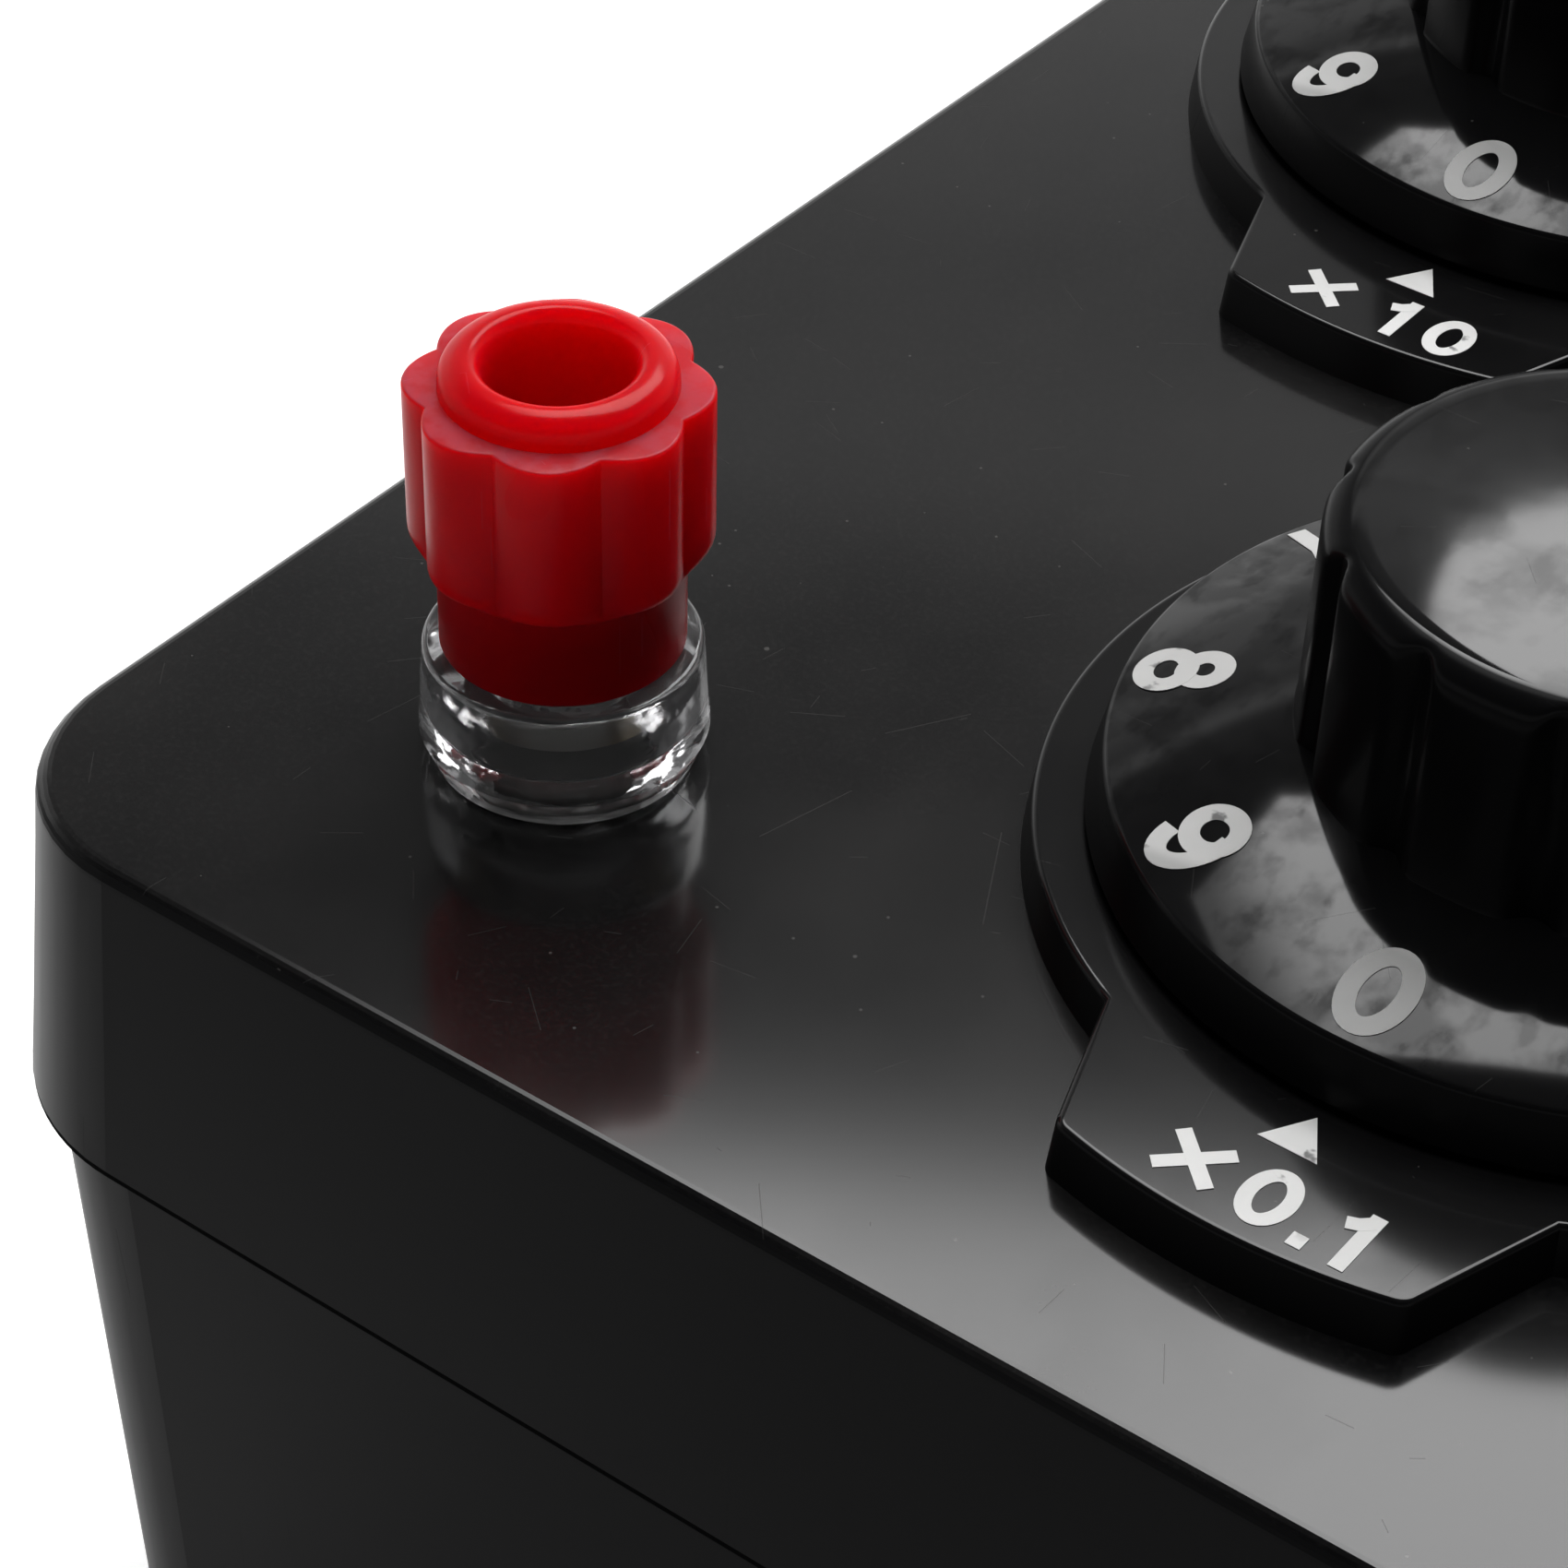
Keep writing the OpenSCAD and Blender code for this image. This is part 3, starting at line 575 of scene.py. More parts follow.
class Finish:
    """One material or world, written as expressions."""

    def __init__(self, name, world=False):
        self.owner = bpy.data.worlds.new(name) if world else bpy.data.materials.new(name)
        self.owner.use_nodes = True
        self.tree = self.owner.node_tree
        self.tree.nodes.clear()
        self.at = self.node("TexCoord", {}, "Generated" if world else "Object")

    def node(self, kind, sockets, output=0, **settings):
        """Adds a shader node: its settings first, then the values or links of its sockets."""
        node = self.tree.nodes.new("ShaderNode" + kind)
        for key, value in settings.items():
            setattr(node, key, value)
        for key, value in sockets.items():
            if isinstance(value, Value):
                self.tree.links.new(value.socket, node.inputs[key])
            else:
                node.inputs[key].default_value = value
        return Value(self, node.outputs[output]) if len(node.outputs) else None

    def axis(self, name):
        """Place along one axis."""
        return self.node("SeparateXYZ", {"Vector": self.at}, name)

    def along(self, way):
        """Place along a direction."""
        return self.node("VectorMath", {0: self.at, 1: way}, "Value", operation="DOT_PRODUCT")

    def rays(self):
        """1 for camera rays, for mirror rays and for rays seen through clear pieces, each on its own."""
        kinds = ("Camera", "Glossy", "Transmission")
        return [self.node("LightPath", {}, f"Is {kind} Ray") for kind in kinds]

    def noise(self, scale, detail=3.0, stretch=(1, 1, 1), turn=0.0, shift=(0, 0, 0)):
        """Cloudy noise over the piece."""
        laid = {"Vector": self.at, "Location": shift, "Rotation": (0, 0, turn), "Scale": stretch}
        place = self.node("Mapping", laid)
        return self.node("TexNoise", {"Vector": place, "Scale": scale, "Detail": detail})

    def scratches(self, scale, width, reach, keep, shift=(0, 0, 0)):
        """Short straight scratches, each in its own direction."""
        place = self.node("Mapping", {"Vector": self.at, "Location": shift})
        cell = {"Vector": place, "Scale": scale}
        spot = self.node("TexVoronoi", cell, "Position")
        chance = self.node("TexVoronoi", cell, "Color")
        drawn = {"Color": chance}
        turn, size, pick = (self.node("SeparateColor", drawn, i) for i in range(3))
        off = self.node("VectorMath", {0: place, 1: spot}, operation="SUBTRACT")
        swung = {"Vector": off, "Angle": turn * math.tau}
        along = self.node("VectorRotate", swung, rotation_type="Z_AXIS")
        x, y = (self.node("SeparateXYZ", {"Vector": along}, axis).size() for axis in "XY")
        return (y < width) * (x < size * reach) * (pick > 1 - keep)

    def specks(self, scale, size, keep, shift=(0, 0, 0)):
        """Sparse round specks."""
        place = self.node("Mapping", {"Vector": self.at, "Location": shift})
        cell = self.node("TexVoronoi", {"Vector": place, "Scale": scale}, "Distance")
        pick = self.node("TexVoronoi", {"Vector": place, "Scale": scale}, "Color")
        pick = self.node("SeparateColor", {"Color": pick})
        return (cell < size) * (pick > 1 - keep)

    def facing_up(self, start=0.6, end=0.95):
        """1 on faces that look upwards, by the height of their normals."""
        normal = self.node("NewGeometry", {}, "Normal")
        return self.node("SeparateXYZ", {"Vector": normal}, "Z").over(start, end)

    def mix(self, factor, first, second):
        """A colour between two colours."""
        return self.node("Mix", {0: factor, 6: first, 7: second}, 2, data_type="RGBA")

    def bump(self, height, depth, strength=1.0):
        """A normal from a height."""
        return self.node("Bump", {"Height": height, "Distance": depth, "Strength": strength})

    def surface(self, **sockets):
        """The surface, and the finished material."""
        named = {key.replace("_", " "): value for key, value in sockets.items()}
        shader = self.node("BsdfPrincipled", named)
        self.node("OutputMaterial", {"Surface": shader})
        return self.owner


def rgba(tint, level=1.0):
    """A colour for a socket."""
    return (tint[0] * level, tint[1] * level, tint[2] * level, 1.0)


def moulded_black(name, gloss, dust, worn, specular, polish, smudge, patch, edge=(0.6, 0.95)):
    """Black moulding: dusty and scratched on its upward faces, its gloss smudged in patches."""
    colours = bpy.context.scene.box_colours
    f = Finish(name)
    cloud = f.noise(patch, 5.0)
    smear = f.noise(patch * 3.2, 4.0, (1, 0.55, 1), 0.6, (0.3, 0.1, 0.2))
    long_lines = f.scratches(110.0, 0.025 * MM, 3.0 * MM, 0.4)
    short_lines = f.scratches(300.0, 0.02 * MM, 1.4 * MM, 0.3, (0.4, 0.2, 0.1))
    lines = (long_lines + short_lines).clamp() * worn
    up = f.facing_up(*edge)
    grit = (f.specks(900.0, 0.06, 0.2) + f.specks(420.0, 0.05, 0.12, (0.1, 0.3, 0.2))) * worn
    grain = f.noise(4500.0, 3.0, shift=(0.1, 0.4, 0.3)).over(0.46, 0.72)
    film = (cloud.over(0.3, 0.72) * 0.45 + smear.over(0.35, 0.75) * 0.3 + grain * 0.3) * dust
    rubbed = cloud.over(0.46, 0.6) * 0.6 + smear.over(0.48, 0.64) * 0.4
    soil = ((film + grit * 0.22 + lines * 0.06) * up).clamp()
    haze = rubbed * (up * 0.75 + 0.15) * (gloss * 0.7)
    return f.surface(
        Base_Color=f.mix(soil, rgba(colours.black), rgba(colours.dust)),
        Roughness=(gloss + haze + lines * 0.2 + (1 - up) * 0.18).clamp(),
        Specular_IOR_Level=specular,
        Coat_Weight=(up * (1 - rubbed * smudge) * (1 - lines * 0.4) * polish).clamp(),
        Coat_Roughness=gloss,
        Normal=f.bump(f.noise(230.0, 2.0), 0.02 * MM, 0.2 + smudge),
    )


def printed_ink(name, level, worn_rows=()):
    """White ink with pinholes, thin in the rows across the panel where fingers rub it."""
    colours = bpy.context.scene.box_colours
    f = Finish(name)
    pinholes = f.noise(900.0, 3.0).over(0.62, 0.7)
    pinholes = pinholes * f.noise(150.0, 2.0, shift=(0.2, 0.3, 0.1)).over(0.5, 0.62)
    tone = f.noise(160.0, 3.0, shift=(0.7, 0.1, 0.4))
    y = f.axis("Y")
    thin = pinholes * 0.8
    for row in worn_rows:
        thin = thin + y.over(row - 2.6 * MM, row - 2.1 * MM) * y.over(row + 2.3 * MM, row + 1.6 * MM) * 0.3
    ink = f.mix(tone.over(0.3, 0.7), rgba(colours.ink, level * 0.86), rgba(colours.ink, level))
    return f.surface(
        Base_Color=f.mix(thin.clamp(), ink, rgba(colours.black, 4.0)),
        Roughness=0.38 + tone * 0.2,
        Normal=f.bump(f.noise(900.0, 2.0), 0.01 * MM, 0.3),
    )


def moulded_red():
    """Red moulding with flow marks, shiny on top; painted shade darkens its neck and upward faces, and wear
    with a painted sheen lies on its flat top.
    """
    colours = bpy.context.scene.box_colours
    f = Finish("cap_red")
    flow = f.noise(90.0, 3.0, (1, 1, 0.35))
    fine = f.noise(700.0, 3.0, shift=(0.2, 0.2, 0.5))
    lines = f.scratches(420.0, 0.02 * MM, 1.6 * MM, 0.5).clamp()
    z = f.axis("Z")
    # Painted shade: the neck is painted darker towards its foot, where less light reaches it.
    neck = z.over(CAP_Z + 6.5 * MM, CAP_Z + 2.5 * MM)
    up = f.facing_up()
    # Partly wear, partly painted sheen: the flat top is mixed towards pinkish red in place of its
    # reflection.
    worn = up * z.over(CROWN_Z - 0.8 * MM, CROWN_Z - 1.2 * MM) * (0.2 + fine.over(0.4, 0.6) * 0.3)
    # Flow marks are real tone; the darker neck and darker upward faces are painted shade.
    flow_tone_and_painted_shade = (flow.over(0.3, 0.7) * 0.3 + neck * 0.7 + up * 0.45).clamp()
    tint = f.mix(flow_tone_and_painted_shade, rgba(colours.red), rgba(colours.red, 0.5))
    return f.surface(
        Base_Color=f.mix((lines * 0.2 + worn).clamp(), tint, rgba(colours.red_scratch_and_sheen)),
        Roughness=0.22 + flow * 0.12 + lines * 0.2,
        Specular_IOR_Level=0.05,
        Coat_Weight=(up * (0.12 + flow * 0.2)).clamp(),
        Coat_Roughness=0.12,
        Subsurface_Weight=1.0,
        Subsurface_Radius=(1.0, 0.05, 0.03),
        Subsurface_Scale=5.0 * MM,
        Normal=f.bump(fine * 0.4 + flow, 0.04 * MM, 0.3),
    )


def clear_moulding():
    """Clear polished plastic with faint moulding ripples."""
    f = Finish("collar_clear")
    ripple = f.noise(260.0, 2.0, (1, 1, 2.2))
    knurl = f.noise(800.0, 1.0) * f.axis("Z").over(PANEL_Z + 2.6 * MM, PANEL_Z + 1.4 * MM)
    return f.surface(
        Base_Color=(0.66, 0.66, 0.67, 1.0),
        Roughness=0.03 + ripple * 0.1,
        IOR=1.49,
        Transmission_Weight=0.95,
        Normal=f.bump(ripple * 0.6 + knurl, 0.12 * MM, 0.8),
    )


def metal(name, tint, rough, turned_lines):
    """Turned or rolled metal with tool marks and tarnish."""
    f = Finish(name)
    cloud = f.noise(140.0, 3.0)
    marks = f.noise(1.0, 2.0, (160, 160, 9000)) if turned_lines else f.noise(1.0, 2.0, (120, 6000, 120))
    return f.surface(
        Base_Color=f.mix(cloud.over(0.35, 0.75), rgba(tint), rgba(tint, 0.72)),
        Metallic=1.0,
        Roughness=rough + marks * 0.14 + cloud * 0.08,
        Normal=f.bump(marks, 0.00003, 0.3),
    )


def plain_part(name, tint, rough, grain=300.0, specular=0.5):
    """Matt insulating part with fine grain."""
    f = Finish(name)
    grain_noise = f.noise(grain, 4.0)
    cloud = f.noise(60.0, 2.0, shift=(0.3, 0.2, 0.7))
    tone = (grain_noise * 0.6 + cloud * 0.4).over(0.3, 0.7)
    return f.surface(
        Base_Color=f.mix(tone, rgba(tint, 0.75), rgba(tint, 1.1)),
        Roughness=rough + grain_noise * 0.15,
        Specular_IOR_Level=specular,
        Normal=f.bump(grain_noise, 0.00005, 0.4),
    )


class BOX_OT_finishes(bpy.types.Operator):
    """Makes every finish and paints the frame's own pieces"""
    bl_idname = "box.finishes"
    bl_label = "Finishes"

    def execute(self, context):
        reach = context.scene.box_print.digit_radius
        rows = [middle(f"dial_{decade}").y - reach for decade in ("tenths", "tens")]
        for name, values in BLACKS.items():
            moulded_black(name, *values)
        printed_ink("ink_dial", 0.72, rows)
        printed_ink("ink_plate", 1.0)
        moulded_red()
        clear_moulding()
        for name, values in METALS.items():
            metal(name, *values)
        for name, values in PLAINS.items():
            plain_part(name, *values)
        for part in frame["record"]["subparts"]:
            paint(frame["nodes"][part["node"]], SLOT_FINISHES[part["material_slot"]])
        return {"FINISHED"}


# Pieces

class BOX_OT_seam(bpy.types.Operator):
    """Painted shadow: thin dark strip along the foot of the lid, where it meets the base, in place of the
    shade there
    """
    bl_idname = "box.seam"
    bl_label = "Seam"

    def execute(self, context):
        s = context.scene.box_case
        x, y = half_width("lid") - s.shadow_strip_inset, high("lid").y - s.shadow_strip_inset
        corner = s.lid_corner - s.shadow_strip_inset
        outline = rounded([(-x, -y), (x, -y), (x, y), (-x, y)], [corner] * 4, 24)
        points = [(px, py, low("lid").z) for px, py in outline + outline[:1]]
        # Painted shadow: a thin near-black strip under the lid's edge.
        shadow_strip = strip("painted_seam_shadow_strip", points, -s.shadow_strip_height)
        clean_mesh(shadow_strip)
        thicken(shadow_strip, s.shadow_strip_width, -1, False)
        fit_out(shadow_strip, "case", "painted_seam_shadow")
        return {"FINISHED"}


class BOX_OT_index_plates(bpy.types.Operator):
    """Plate with a tab under each dial, its upper edge rounded"""
    bl_idname = "box.index_plates"
    bl_label = "Index plates"

    def execute(self, context):
        s = context.scene.box_dials
        root_y = -math.sqrt(PLATE_R ** 2 - s.tab_in ** 2)
        end_y = -math.sqrt(TAB_R ** 2 - s.tab_out ** 2)
        first = math.atan2(root_y, s.tab_in)
        last = math.atan2(root_y, -s.tab_in) + 2 * math.pi
        plate = arc(0, 0, PLATE_R, first, last, 180)
        tip = arc(0, 0, TAB_R, math.atan2(end_y, -s.tab_out), math.atan2(end_y, s.tab_out), 40)
        left = rounded([(-s.tab_in, root_y), tip[0], tip[1]], [0, s.tab_rounding, 0], 4)[1:-1]
        skip = next(i for i, p in enumerate(tip) if p[0] > left[-1][0])
        right = [(-x, y) for x, y in reversed(left)]
        outline = plate + left + tip[skip:-skip] + right
        pattern = sheet("index_pattern", [(x, y, PANEL_Z) for x, y in outline])
        bpy.ops.mesh.extrude_region_move(TRANSFORM_OT_translate={"value": (0, 0, PLATE_Z - PANEL_Z)})
        draft = 1 - s.plate_draft / TAB_R
        bpy.ops.transform.resize(value=(draft, draft, 1), center_override=(0, 0, 0))
        bpy.ops.mesh.region_to_loop()
        bpy.ops.mesh.bevel(offset=s.plate_rounding, segments=4, affect="EDGES")
        select_top(pattern, PLATE_Z)
        bpy.ops.mesh.inset(thickness=s.plate_rounding / 4)
        clean_mesh(pattern)
        smooth(pattern, 40)
        set_out(pattern, MULTIPLIERS, "plate", "case", "index_black", "dial", "index")
        return {"FINISHED"}


class BOX_OT_dials(bpy.types.Operator):
    """Dial with a sloping number face, one for each decade"""
    bl_idname = "box.dials"
    bl_label = "Dials"

    def execute(self, context):
        s = context.scene.box_dials
        outer = half_width("dial_tenths")
        rim_z = DIAL_Z + s.rim_height
        rim = [(outer, DIAL_Z), (s.rim_radius, rim_z)]
        hub = [(KNOB_R, HUB_Z), (KNOB_R - s.hub_inset, HUB_Z), (0, HUB_Z)]
        section = rounded([(0, DIAL_Z)] + rim + hub, [0, s.foot_rounding, s.rim_rounding, 0, 0, 0])
        pattern = lathe("dial_pattern", section, 288)
        smooth(pattern, 20)
        set_out(pattern, MULTIPLIERS, "disc", "{}_dial", "dial_black", "dial", "dial")
        return {"FINISHED"}


class BOX_OT_knobs(bpy.types.Operator):
    """Fluted knob on each dial"""
    bl_idname = "box.knobs"
    bl_label = "Knobs"

    def execute(self, context):
        s = context.scene.box_dials
        classes = 17
        pitch = math.pi / s.flutes / (classes - 1)

        def depth(k):
            off = (classes - 1 - k) * pitch * KNOB_R
            share = min(1.0, off / s.flute_width)
            return s.flute_depth * (0.5 + 0.5 * math.cos(math.pi * share))

        shape = [KNOB_R - depth(k) for k in range(classes)]
        top_r = KNOB_R - s.knob_taper
        edge = s.knob_rounding
        rings = [(HUB_Z, shape)]
        side = KNOB_Z - edge - HUB_Z
        profile = [(KNOB_R - s.knob_taper * t, HUB_Z + side * t) for t in (0.02, 0.5, 0.98, 1.0)]
        profile += arc(top_r - edge, KNOB_Z - edge, edge, 0, math.pi / 2, 8)[1:]
        for radius, level in profile:
            taper = s.knob_taper * (level - HUB_Z) / (KNOB_Z - HUB_Z)
            rings.append((level, [run_out(radius, r - taper, s.flute_blend) for r in shape]))
        flat = rings[-1][1][0]
        rings += [(KNOB_Z, [flat * share] * classes) for share in (0.96, 0.6, 0.2)]
        pattern = fluted("knob_pattern", s.flutes, classes, rings)
        bpy.ops.mesh.merge(type="CENTER")
        select_verts(pattern, lambda vert: abs(vert.co.z - HUB_Z) < TINY)
        bpy.ops.mesh.edge_face_add()
        clean_mesh(pattern)
        turned(pattern, math.pi / s.flutes - math.pi / 2 + s.flute_turn)
        smooth(pattern, 35)
        set_out(pattern, MULTIPLIERS, "grip", "{}_dial", "knob_black", "knob", "knob")
        return {"FINISHED"}


class BOX_OT_caps(bpy.types.Operator):
    """Ribbed red cap of each binding post, with a rounded ring about its plug hole"""
    bl_idname = "box.caps"
    bl_label = "Post caps"

    def execute(self, context):
        s = context.scene.box_posts
        classes = 15
        grip_z = CAP_Z + s.neck_height
        crown = CROWN_Z - s.rim_height

        def share(k):
            return (0.5 + 0.5 * math.cos(math.pi * k / (classes - 1))) ** 0.5

        def even(radius):
            return [radius] * classes

        def ribbed(valley, lobe):
            return [valley + (lobe - valley) * share(k) for k in range(classes)]

        valley, lobe, neck = s.valley_radius, s.lobe_radius, s.neck_radius
        foot_z = grip_z + s.shoulder_height
        edge = s.edge_rounding
        rings = [(CAP_Z, even(s.bore_radius)), (CAP_Z, even(neck - s.neck_chamfer))]
        rings += [(CAP_Z + s.neck_chamfer, even(neck)), (grip_z - s.ease, even(neck))]
        rings += [(grip_z, even(neck + s.ease / 2)), (grip_z + 1.2 * s.ease, even(valley - s.ease))]
        rings.append((foot_z, even(valley)))
        for i in range(1, 8):
            turn = math.pi / 2 * i / 7
            reach = valley + (lobe - valley) * math.sin(turn)
            rings.append((foot_z + s.rib_foot * (1 - math.cos(turn)), ribbed(valley, reach)))
        rings.append((grip_z + 0.6 * (crown - grip_z), ribbed(valley, lobe)))
        for i in range(6):
            turn = math.pi / 2 * i / 5
            inset = edge * (1 - math.cos(turn))
            rings.append((crown - edge + edge * math.sin(turn), ribbed(valley - inset, lobe - inset)))
        rings.append((crown, even(s.rim_radius + s.rim_outer + s.ease)))
        for i in range(19):
            turn = math.pi * i / 18
            half = s.rim_outer if i < 9 else s.rim_inner
            level = crown + s.rim_height * math.sin(turn) ** 0.7
            rings.append((level, even(s.rim_radius + half * math.cos(turn))))
        rings += [(z, even(s.mouth_radius)) for z in (crown - s.mouth_edge, INSERT_Z + 1.2 * s.ease)]
        rings += [(z, even(s.bore_radius)) for z in (INSERT_Z + s.ease, CAP_Z)]
        pattern = fluted("cap_pattern", s.lobes, classes, rings)
        clean_mesh(pattern)
        turned(pattern, s.lobe_turn)
        smooth(pattern, 38)
        set_out(pattern, SIDES, "grip_cap", "{}_cap", "cap_red", "cap", "cap")
        return {"FINISHED"}


class BOX_OT_collars(bpy.types.Operator):
    """Clear collar under each cap"""
    bl_idname = "box.collars"
    bl_label = "Post collars"

    def execute(self, context):
        s = context.scene.box_posts
        foot = PANEL_Z + s.collar_gap
        step = PANEL_Z + s.flange_height
        web = PANEL_Z + s.web_height
        section = rounded(
            [
                (s.web_bore, foot),
                (s.flange_radius - s.chamfer_width, foot),
                (s.flange_radius, PANEL_Z + s.chamfer_height),
                (s.flange_radius - s.flange_ease, step),
                (s.collar_radius, COLLAR_Z),
                (s.collar_bore, COLLAR_Z),
                (s.collar_bore, web),
                (s.web_bore, web),
            ],
            [radius * MM for radius in COLLAR_ROUNDINGS],
        )
        pattern = lathe("collar_pattern", section, 160)
        smooth(pattern, 25)
        set_out(pattern, SIDES, "clear_collar", "case", "collar_clear", "collar", "collar")
        return {"FINISHED"}


def oval(x, y, rx, ry, start=0, end=360):
    """Points of an oval arc between two angles in degrees."""
    count = max(4, round(abs(end - start) / 9))
    turns = [math.radians(start + (end - start) * i / count) for i in range(count + 1)]
    return [(x + rx * math.cos(turn), y + ry * math.sin(turn)) for turn in turns]


def figure_strokes(weight):
    """Middle lines of the figures, 1 high about their middles, for strokes of a weight."""
    top = 0.5 - weight / 2
    nine = [oval(0, top - 0.235, 0.245, 0.235), oval(-0.015, 0, 0.26, top, 35, -158)]
    return {
        "0": [oval(0, 0, 0.255, top)],
        "1": [[(0, -0.5), (0, 0.5)], [(0, top - 0.02), (-0.13, top - 0.14), (-0.28, top - 0.2)]],
        "2": [oval(0, top - 0.215, 0.24, 0.215, 172, -38) + [(-0.2, -top)], [(-0.31, -top), (0.3, -top)]],
        "3": [
            oval(-0.02, top - 0.195, 0.22, 0.195, 160, -90) + oval(-0.02, -top + 0.22, 0.255, 0.22, 90, -160)
        ],
        "4": [[(0.15, -0.5), (0.15, 0.5)], [(-0.36, -0.22), (0.36, -0.22)], [(0.12, 0.42), (-0.29, -0.2)]],
        "5": [
            [(0.26, top), (-0.23, top)],
            [(-0.14, 0.46), (-0.18, 0.03)] + oval(-0.01, -top + 0.235, 0.25, 0.235, 128, -155),
        ],
        "6": [[(-x, -y) for x, y in stroke] for stroke in nine],
        "7": [[(-0.3, top), (0.3, top)], [(0.23, top), (0.02, 0), (-0.08, -0.5)]],
        "8": [oval(0, top - 0.195, 0.205, 0.195), oval(0, -top + 0.22, 0.25, 0.22)],
        "9": nine,
        ".": [[(0, -0.5), (0, -0.5 + weight * 1.1)]],
        "x": [[(-0.37, -0.34), (0.37, 0.34)], [(-0.37, 0.34), (0.37, -0.34)]],
    }


def join(name, pieces):
    """Joins pieces into one named mesh."""
    start_clean()
    for piece in pieces:
        piece.select_set(True)
    bpy.context.view_layer.objects.active = pieces[0]
    if len(pieces) > 1:
        bpy.ops.object.join()
    obj = bpy.context.object
    obj.name = name
    obj.data.name = name
    return obj


def figure(name, sign, height, weight, film):
    """One printed figure: its strokes as bars of ink lying on the XY plane."""
    bars = []
    for index, stroke in enumerate(figure_strokes(weight)[sign]):
        points = [(x * height, y * height, 0.0) for x, y in stroke]
        bar = strip(name, points, film * (1 + 0.2 * index))
        bpy.ops.object.mode_set(mode="OBJECT")
        thicken(bar, weight * height, 0, True)
        clean_mesh(bar)
        bars.append(bar)
    return join(name, bars)


class BOX_OT_numbers(bpy.types.Operator):
    """White numbers 0 to 9 on each dial's sloping face"""
    bl_idname = "box.numbers"
    bl_label = "Dial numbers"

    def execute(self, context):
        s, d = context.scene.box_print, context.scene.box_dials
        rim_z = DIAL_Z + d.rim_height
        slope = math.atan2(HUB_Z - rim_z, d.rim_radius - KNOB_R)
        level = rim_z + (d.rim_radius - s.digit_radius) * math.tan(slope)
        digits = []
        for k in range(10):
            digit = figure(f"digit_{k}", str(k), s.digit_height, s.stroke, s.film)
            lie = Matrix.Rotation(slope, 4, "X")
            out = Matrix.Translation((0, -s.digit_radius, level))
            around = Matrix.Rotation(math.radians(36 * k), 4, "Z")
            digit.data.transform(around @ out @ lie)
            digits.append(digit)
        pattern = join("numbers_pattern", digits)
        set_out(pattern, MULTIPLIERS, "numbers", "{}_dial", "ink_dial", "dial")
        return {"FINISHED"}


class BOX_OT_marks(bpy.types.Operator):
    """Pointer and multiplier on each plate's tab"""
    bl_idname = "box.marks"
    bl_label = "Pointers and multipliers"

    def execute(self, context):
        s = context.scene.box_print
        base_y = -(s.pointer_tip + s.pointer_length)
        half = s.pointer_width / 2
        for decade, words in MULTIPLIERS.items():
            at = middle(f"dial_{decade}")
            signs = []
            reach = 0.0
            for sign in words:
                wide = FIGURE_WIDTHS.get(sign, 0.86) * s.mark_height
                if sign != " ":
                    glyph = figure(f"sign_{sign}", sign, s.mark_height, s.stroke, s.film)
                    glyph.data.transform(Matrix.Translation((reach + wide / 2, 0, 0)))
                    signs.append(glyph)
                reach += wide
            shift = s.mark_shift if "." in words else 0.0
            for glyph in signs:
                glyph.data.transform(Matrix.Translation((shift - reach / 2, -s.mark_radius, PLATE_Z)))
            corners = [(-half, base_y), (half, base_y), (0, -s.pointer_tip)]
            pointer = sheet("pointer", [(x, y, PLATE_Z) for x, y in corners])
            bpy.ops.mesh.extrude_region_move(TRANSFORM_OT_translate={"value": (0, 0, s.film)})
            clean_mesh(pointer)
            mark = join(f"mark_{decade}", [pointer] + signs)
            mark.data.transform(Matrix.Translation((at.x, at.y, 0)))
            fit_out(mark, "case", "ink_plate")
        return {"FINISHED"}


# Studio

def direction(azimuth, elevation):
    """Unit vector at an azimuth from +X and a height."""
    flat = math.cos(elevation)
    return Vector((flat * math.cos(azimuth), flat * math.sin(azimuth), math.sin(elevation)))


def aimed(obj, place, back, roll):
    """Sets a camera or lamp at a place, looking against back."""
    right = Vector((0, 0, 1)).cross(back).normalized()
    up = back.cross(right)
    turned_right = right * math.cos(roll) + up * math.sin(roll)
    turned_up = up * math.cos(roll) - right * math.sin(roll)
    axes = Matrix((turned_right, turned_up, back)).transposed().to_4x4()
    obj.matrix_world = Matrix.Translation(place) @ axes


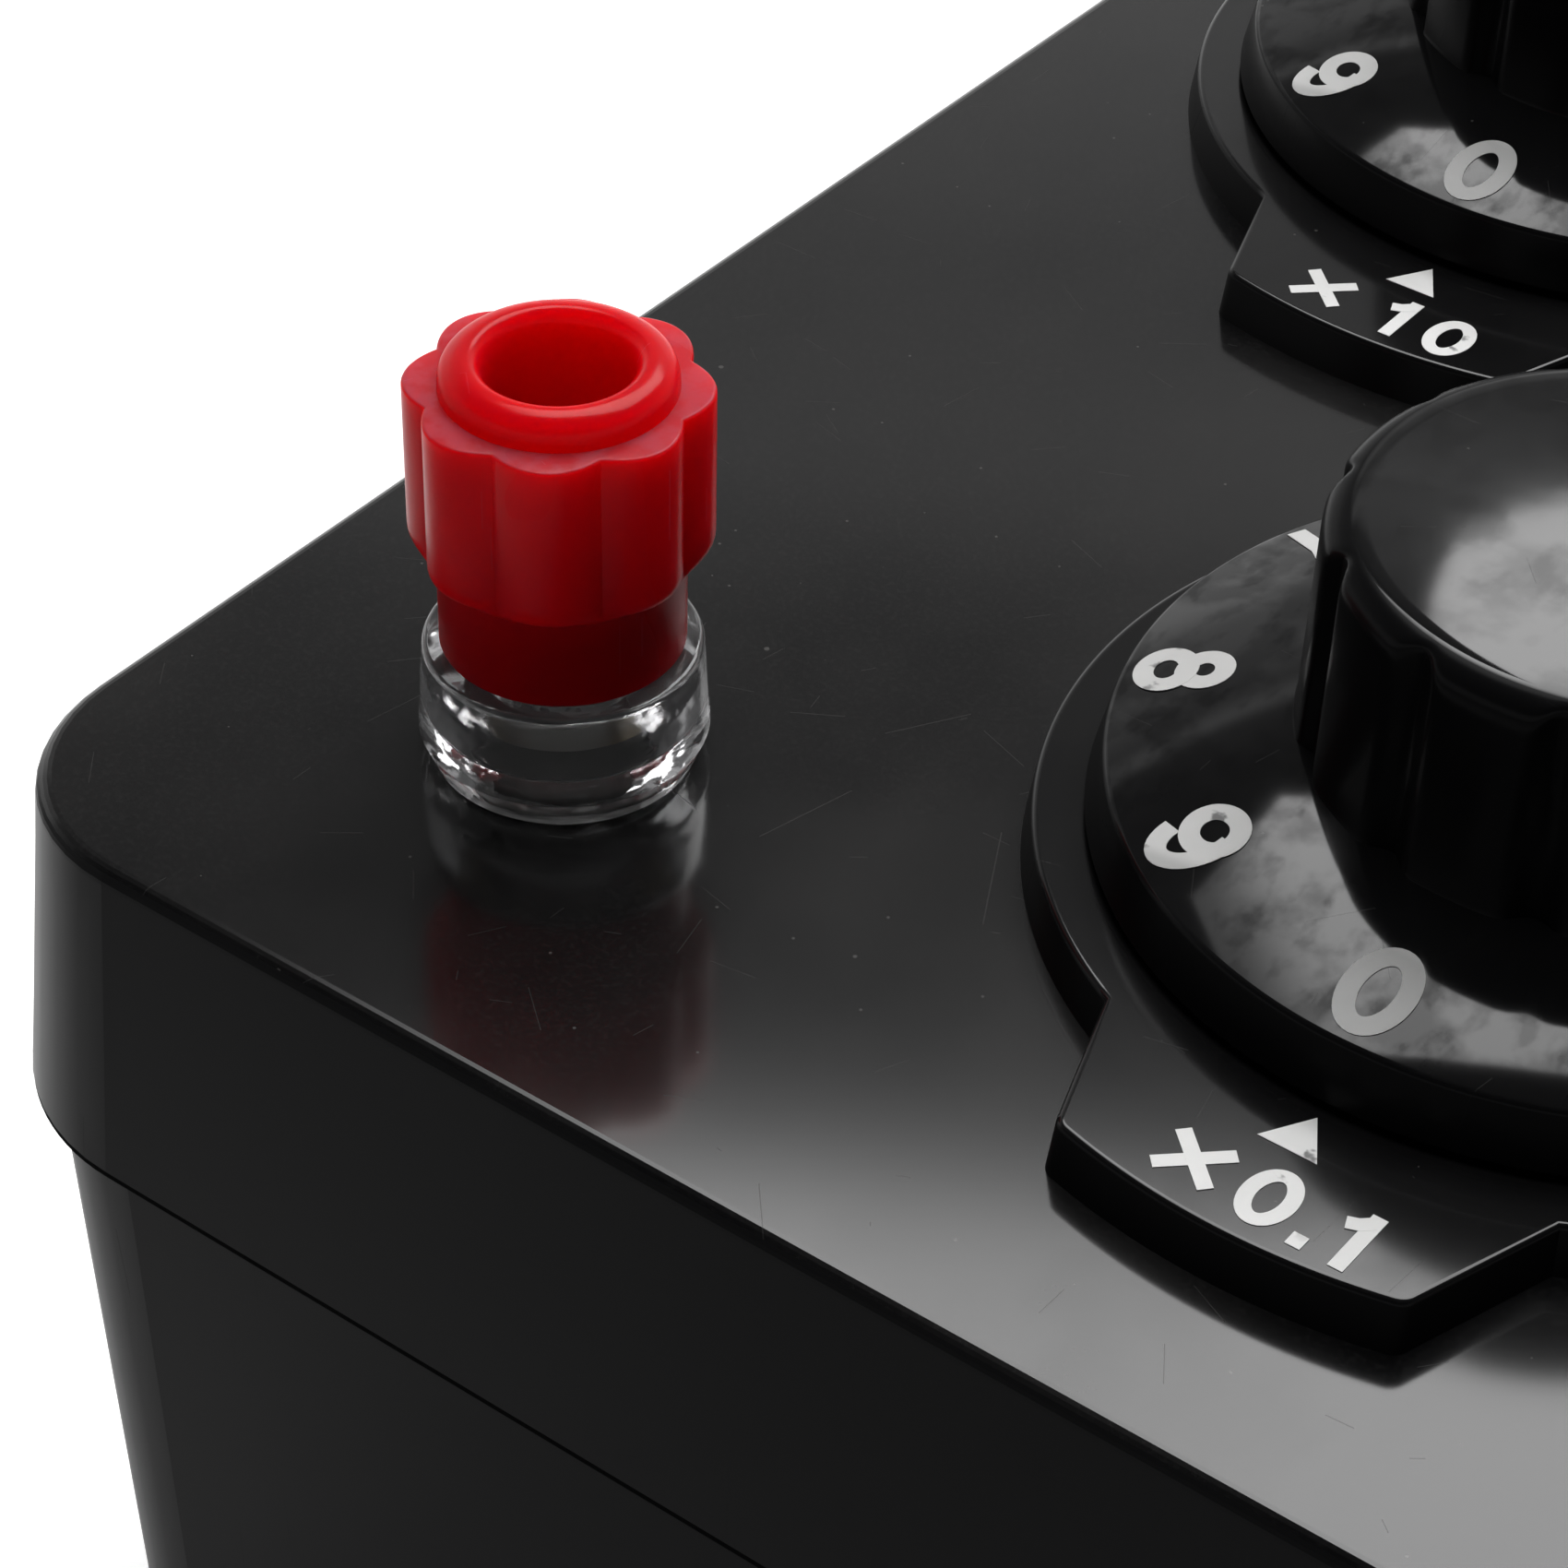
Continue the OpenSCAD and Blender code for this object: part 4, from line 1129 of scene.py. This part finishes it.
class BOX_OT_studio(bpy.types.Operator):
    """Camera, pale floor, room light and soft lamps"""
    bl_idname = "box.studio"
    bl_label = "Studio"

    def execute(self, context):
        s = context.scene.box_studio
        scene = context.scene
        foot = middle("post_left")
        data = bpy.data.cameras.new("camera")
        data.sensor_fit = "HORIZONTAL"
        data.sensor_width = 36
        data.lens = s.lens
        data.clip_start = 0.01
        camera = bpy.data.objects.new("camera", data)
        scene.collection.objects.link(camera)
        scene.camera = camera
        back = direction(s.azimuth - math.pi / 2, s.elevation)
        aim = Vector((foot.x, foot.y, PANEL_Z)) + Vector(s.aim)
        aimed(camera, aim + back * s.distance, back, s.roll)

        self.lay_floor(s)
        self.light_room(scene, s)
        self.hang_panel(s)
        self.hang_overhead(scene, s)
        scene.view_settings.view_transform = "Standard"
        return {"FINISHED"}

    def lay_floor(self, s):
        """Pale floor that is lifted to white behind and beside the box and keeps its shadow."""
        start_clean()
        bpy.ops.mesh.primitive_plane_add(size=6.0)
        floor = bpy.context.object
        floor.name = "floor"
        f = Finish("floor_pale")
        camera, glossy, through = f.rays()
        behind = f.axis("Y").over(low("lid").y * 2, low("lid").y * 1.05)
        away = f.node("VectorMath", {0: f.at}, "Value", operation="LENGTH")
        away = away.over(s.floor_near, s.floor_far)
        paper = f.node("BsdfDiffuse", {"Color": (0.86, 0.86, 0.86, 1)})
        lift = away * (1 - s.floor_lift) + s.floor_lift
        white = f.node("Emission", {"Color": lift, "Strength": 1.0})
        both = f.node("AddShader", {0: paper, 1: white})
        lifted = (camera + (glossy + through) * behind).clamp()
        seen = f.node("MixShader", {0: lifted, 1: paper, 2: both})
        f.node("OutputMaterial", {"Surface": seen})
        floor.data.materials.append(f.owner)

    def light_room(self, scene, s):
        """Dim room, darker in front and overhead, with a white backdrop that adds no light."""
        f = Finish("room", True)
        scene.world = f.owner
        z = f.axis("Z")
        height = f.node("ValToRGB", {"Fac": z})
        stops = height.socket.node.color_ramp.elements
        for _ in range(len(ROOM_BANDS) - 2):
            stops.new(0.5)
        for stop, (position, level) in zip(stops, ROOM_BANDS):
            stop.position = position
            stop.color = (level, level, level, 1)
        back = direction(s.panel_azimuth, 0)
        aside = f.along(back)
        room = height * (aside.over(-0.2, 0.5) * (1 - s.front_share) + s.front_share)
        camera, glossy, through = f.rays()
        backdrop = (camera + glossy + through).clamp() * z.over(0.4, 0.3)
        seen = room * (1 - backdrop) + backdrop
        sky = f.node("Background", {"Color": seen, "Strength": 1.0})
        f.node("OutputWorld", {"Surface": sky})

    def hang_panel(self, s):
        """Soft light panel behind the box, with a lower wing to its right."""
        toward = direction(s.panel_azimuth, s.panel_elevation)
        right = toward.cross(Vector((0, 0, 1))).normalized()
        up = right.cross(toward)
        centre = Vector(PANEL_AIM) * MM + toward * s.panel_distance
        card = sheet("light_panel", [centre + (right * u + up * v) * MM for u, v in PANEL_CORNERS])
        bpy.ops.object.mode_set(mode="OBJECT")
        f = Finish("panel_white")
        across = f.along(right)
        level = (across - centre.dot(right)).over(-s.panel_fade_end, -s.panel_fade_start) * 0.8 + 0.2
        glow = f.node("Emission", {"Color": level, "Strength": s.panel_glow})
        f.node("OutputMaterial", {"Surface": glow})
        card.data.materials.append(f.owner)
        card.visible_camera = False

    def hang_overhead(self, scene, s):
        """Soft lamp straight above the front of the box, for the printed numbers."""
        data = bpy.data.lights.new("overhead", "AREA")
        data.size = s.overhead_size
        data.energy = s.overhead_power
        obj = bpy.data.objects.new("overhead", data)
        scene.collection.objects.link(obj)
        obj.location = (middle("dial_tenths").x, low("lid").y, PANEL_Z + s.overhead_height)
        obj.visible_glossy = False


class BOX_PT_panel(bpy.types.Panel):
    """Lists the sizes and the steps of the box"""
    bl_idname = "BOX_PT_panel"
    bl_label = "Decade box"
    bl_space_type = "VIEW_3D"
    bl_region_type = "UI"
    bl_category = "Decade box"

    def draw(self, context):
        for step in STEPS:
            self.layout.operator(step.bl_idname)
        for key, group in GROUPS.items():
            column = self.layout.column()
            column.label(text=group.bl_rna.description)
            for name in group.__annotations__:
                column.prop(getattr(context.scene, key), name)


STEPS = (
    BOX_OT_finishes,
    BOX_OT_seam,
    BOX_OT_index_plates,
    BOX_OT_dials,
    BOX_OT_knobs,
    BOX_OT_caps,
    BOX_OT_collars,
    BOX_OT_numbers,
    BOX_OT_marks,
    BOX_OT_studio,
)


def register():
    for group in GROUPS.values():
        bpy.utils.register_class(group)
    for key, group in GROUPS.items():
        setattr(bpy.types.Scene, key, PointerProperty(type=group))
    for step in STEPS:
        bpy.utils.register_class(step)
    bpy.utils.register_class(BOX_PT_panel)


def unregister():
    bpy.utils.unregister_class(BOX_PT_panel)
    for step in reversed(STEPS):
        bpy.utils.unregister_class(step)
    for key, group in GROUPS.items():
        delattr(bpy.types.Scene, key)
        bpy.utils.unregister_class(group)


def main():
    register()
    for step in STEPS:
        group, name = step.bl_idname.split(".")
        getattr(getattr(bpy.ops, group), name)()
    start_clean()


if __name__ == "__main__":
    main()
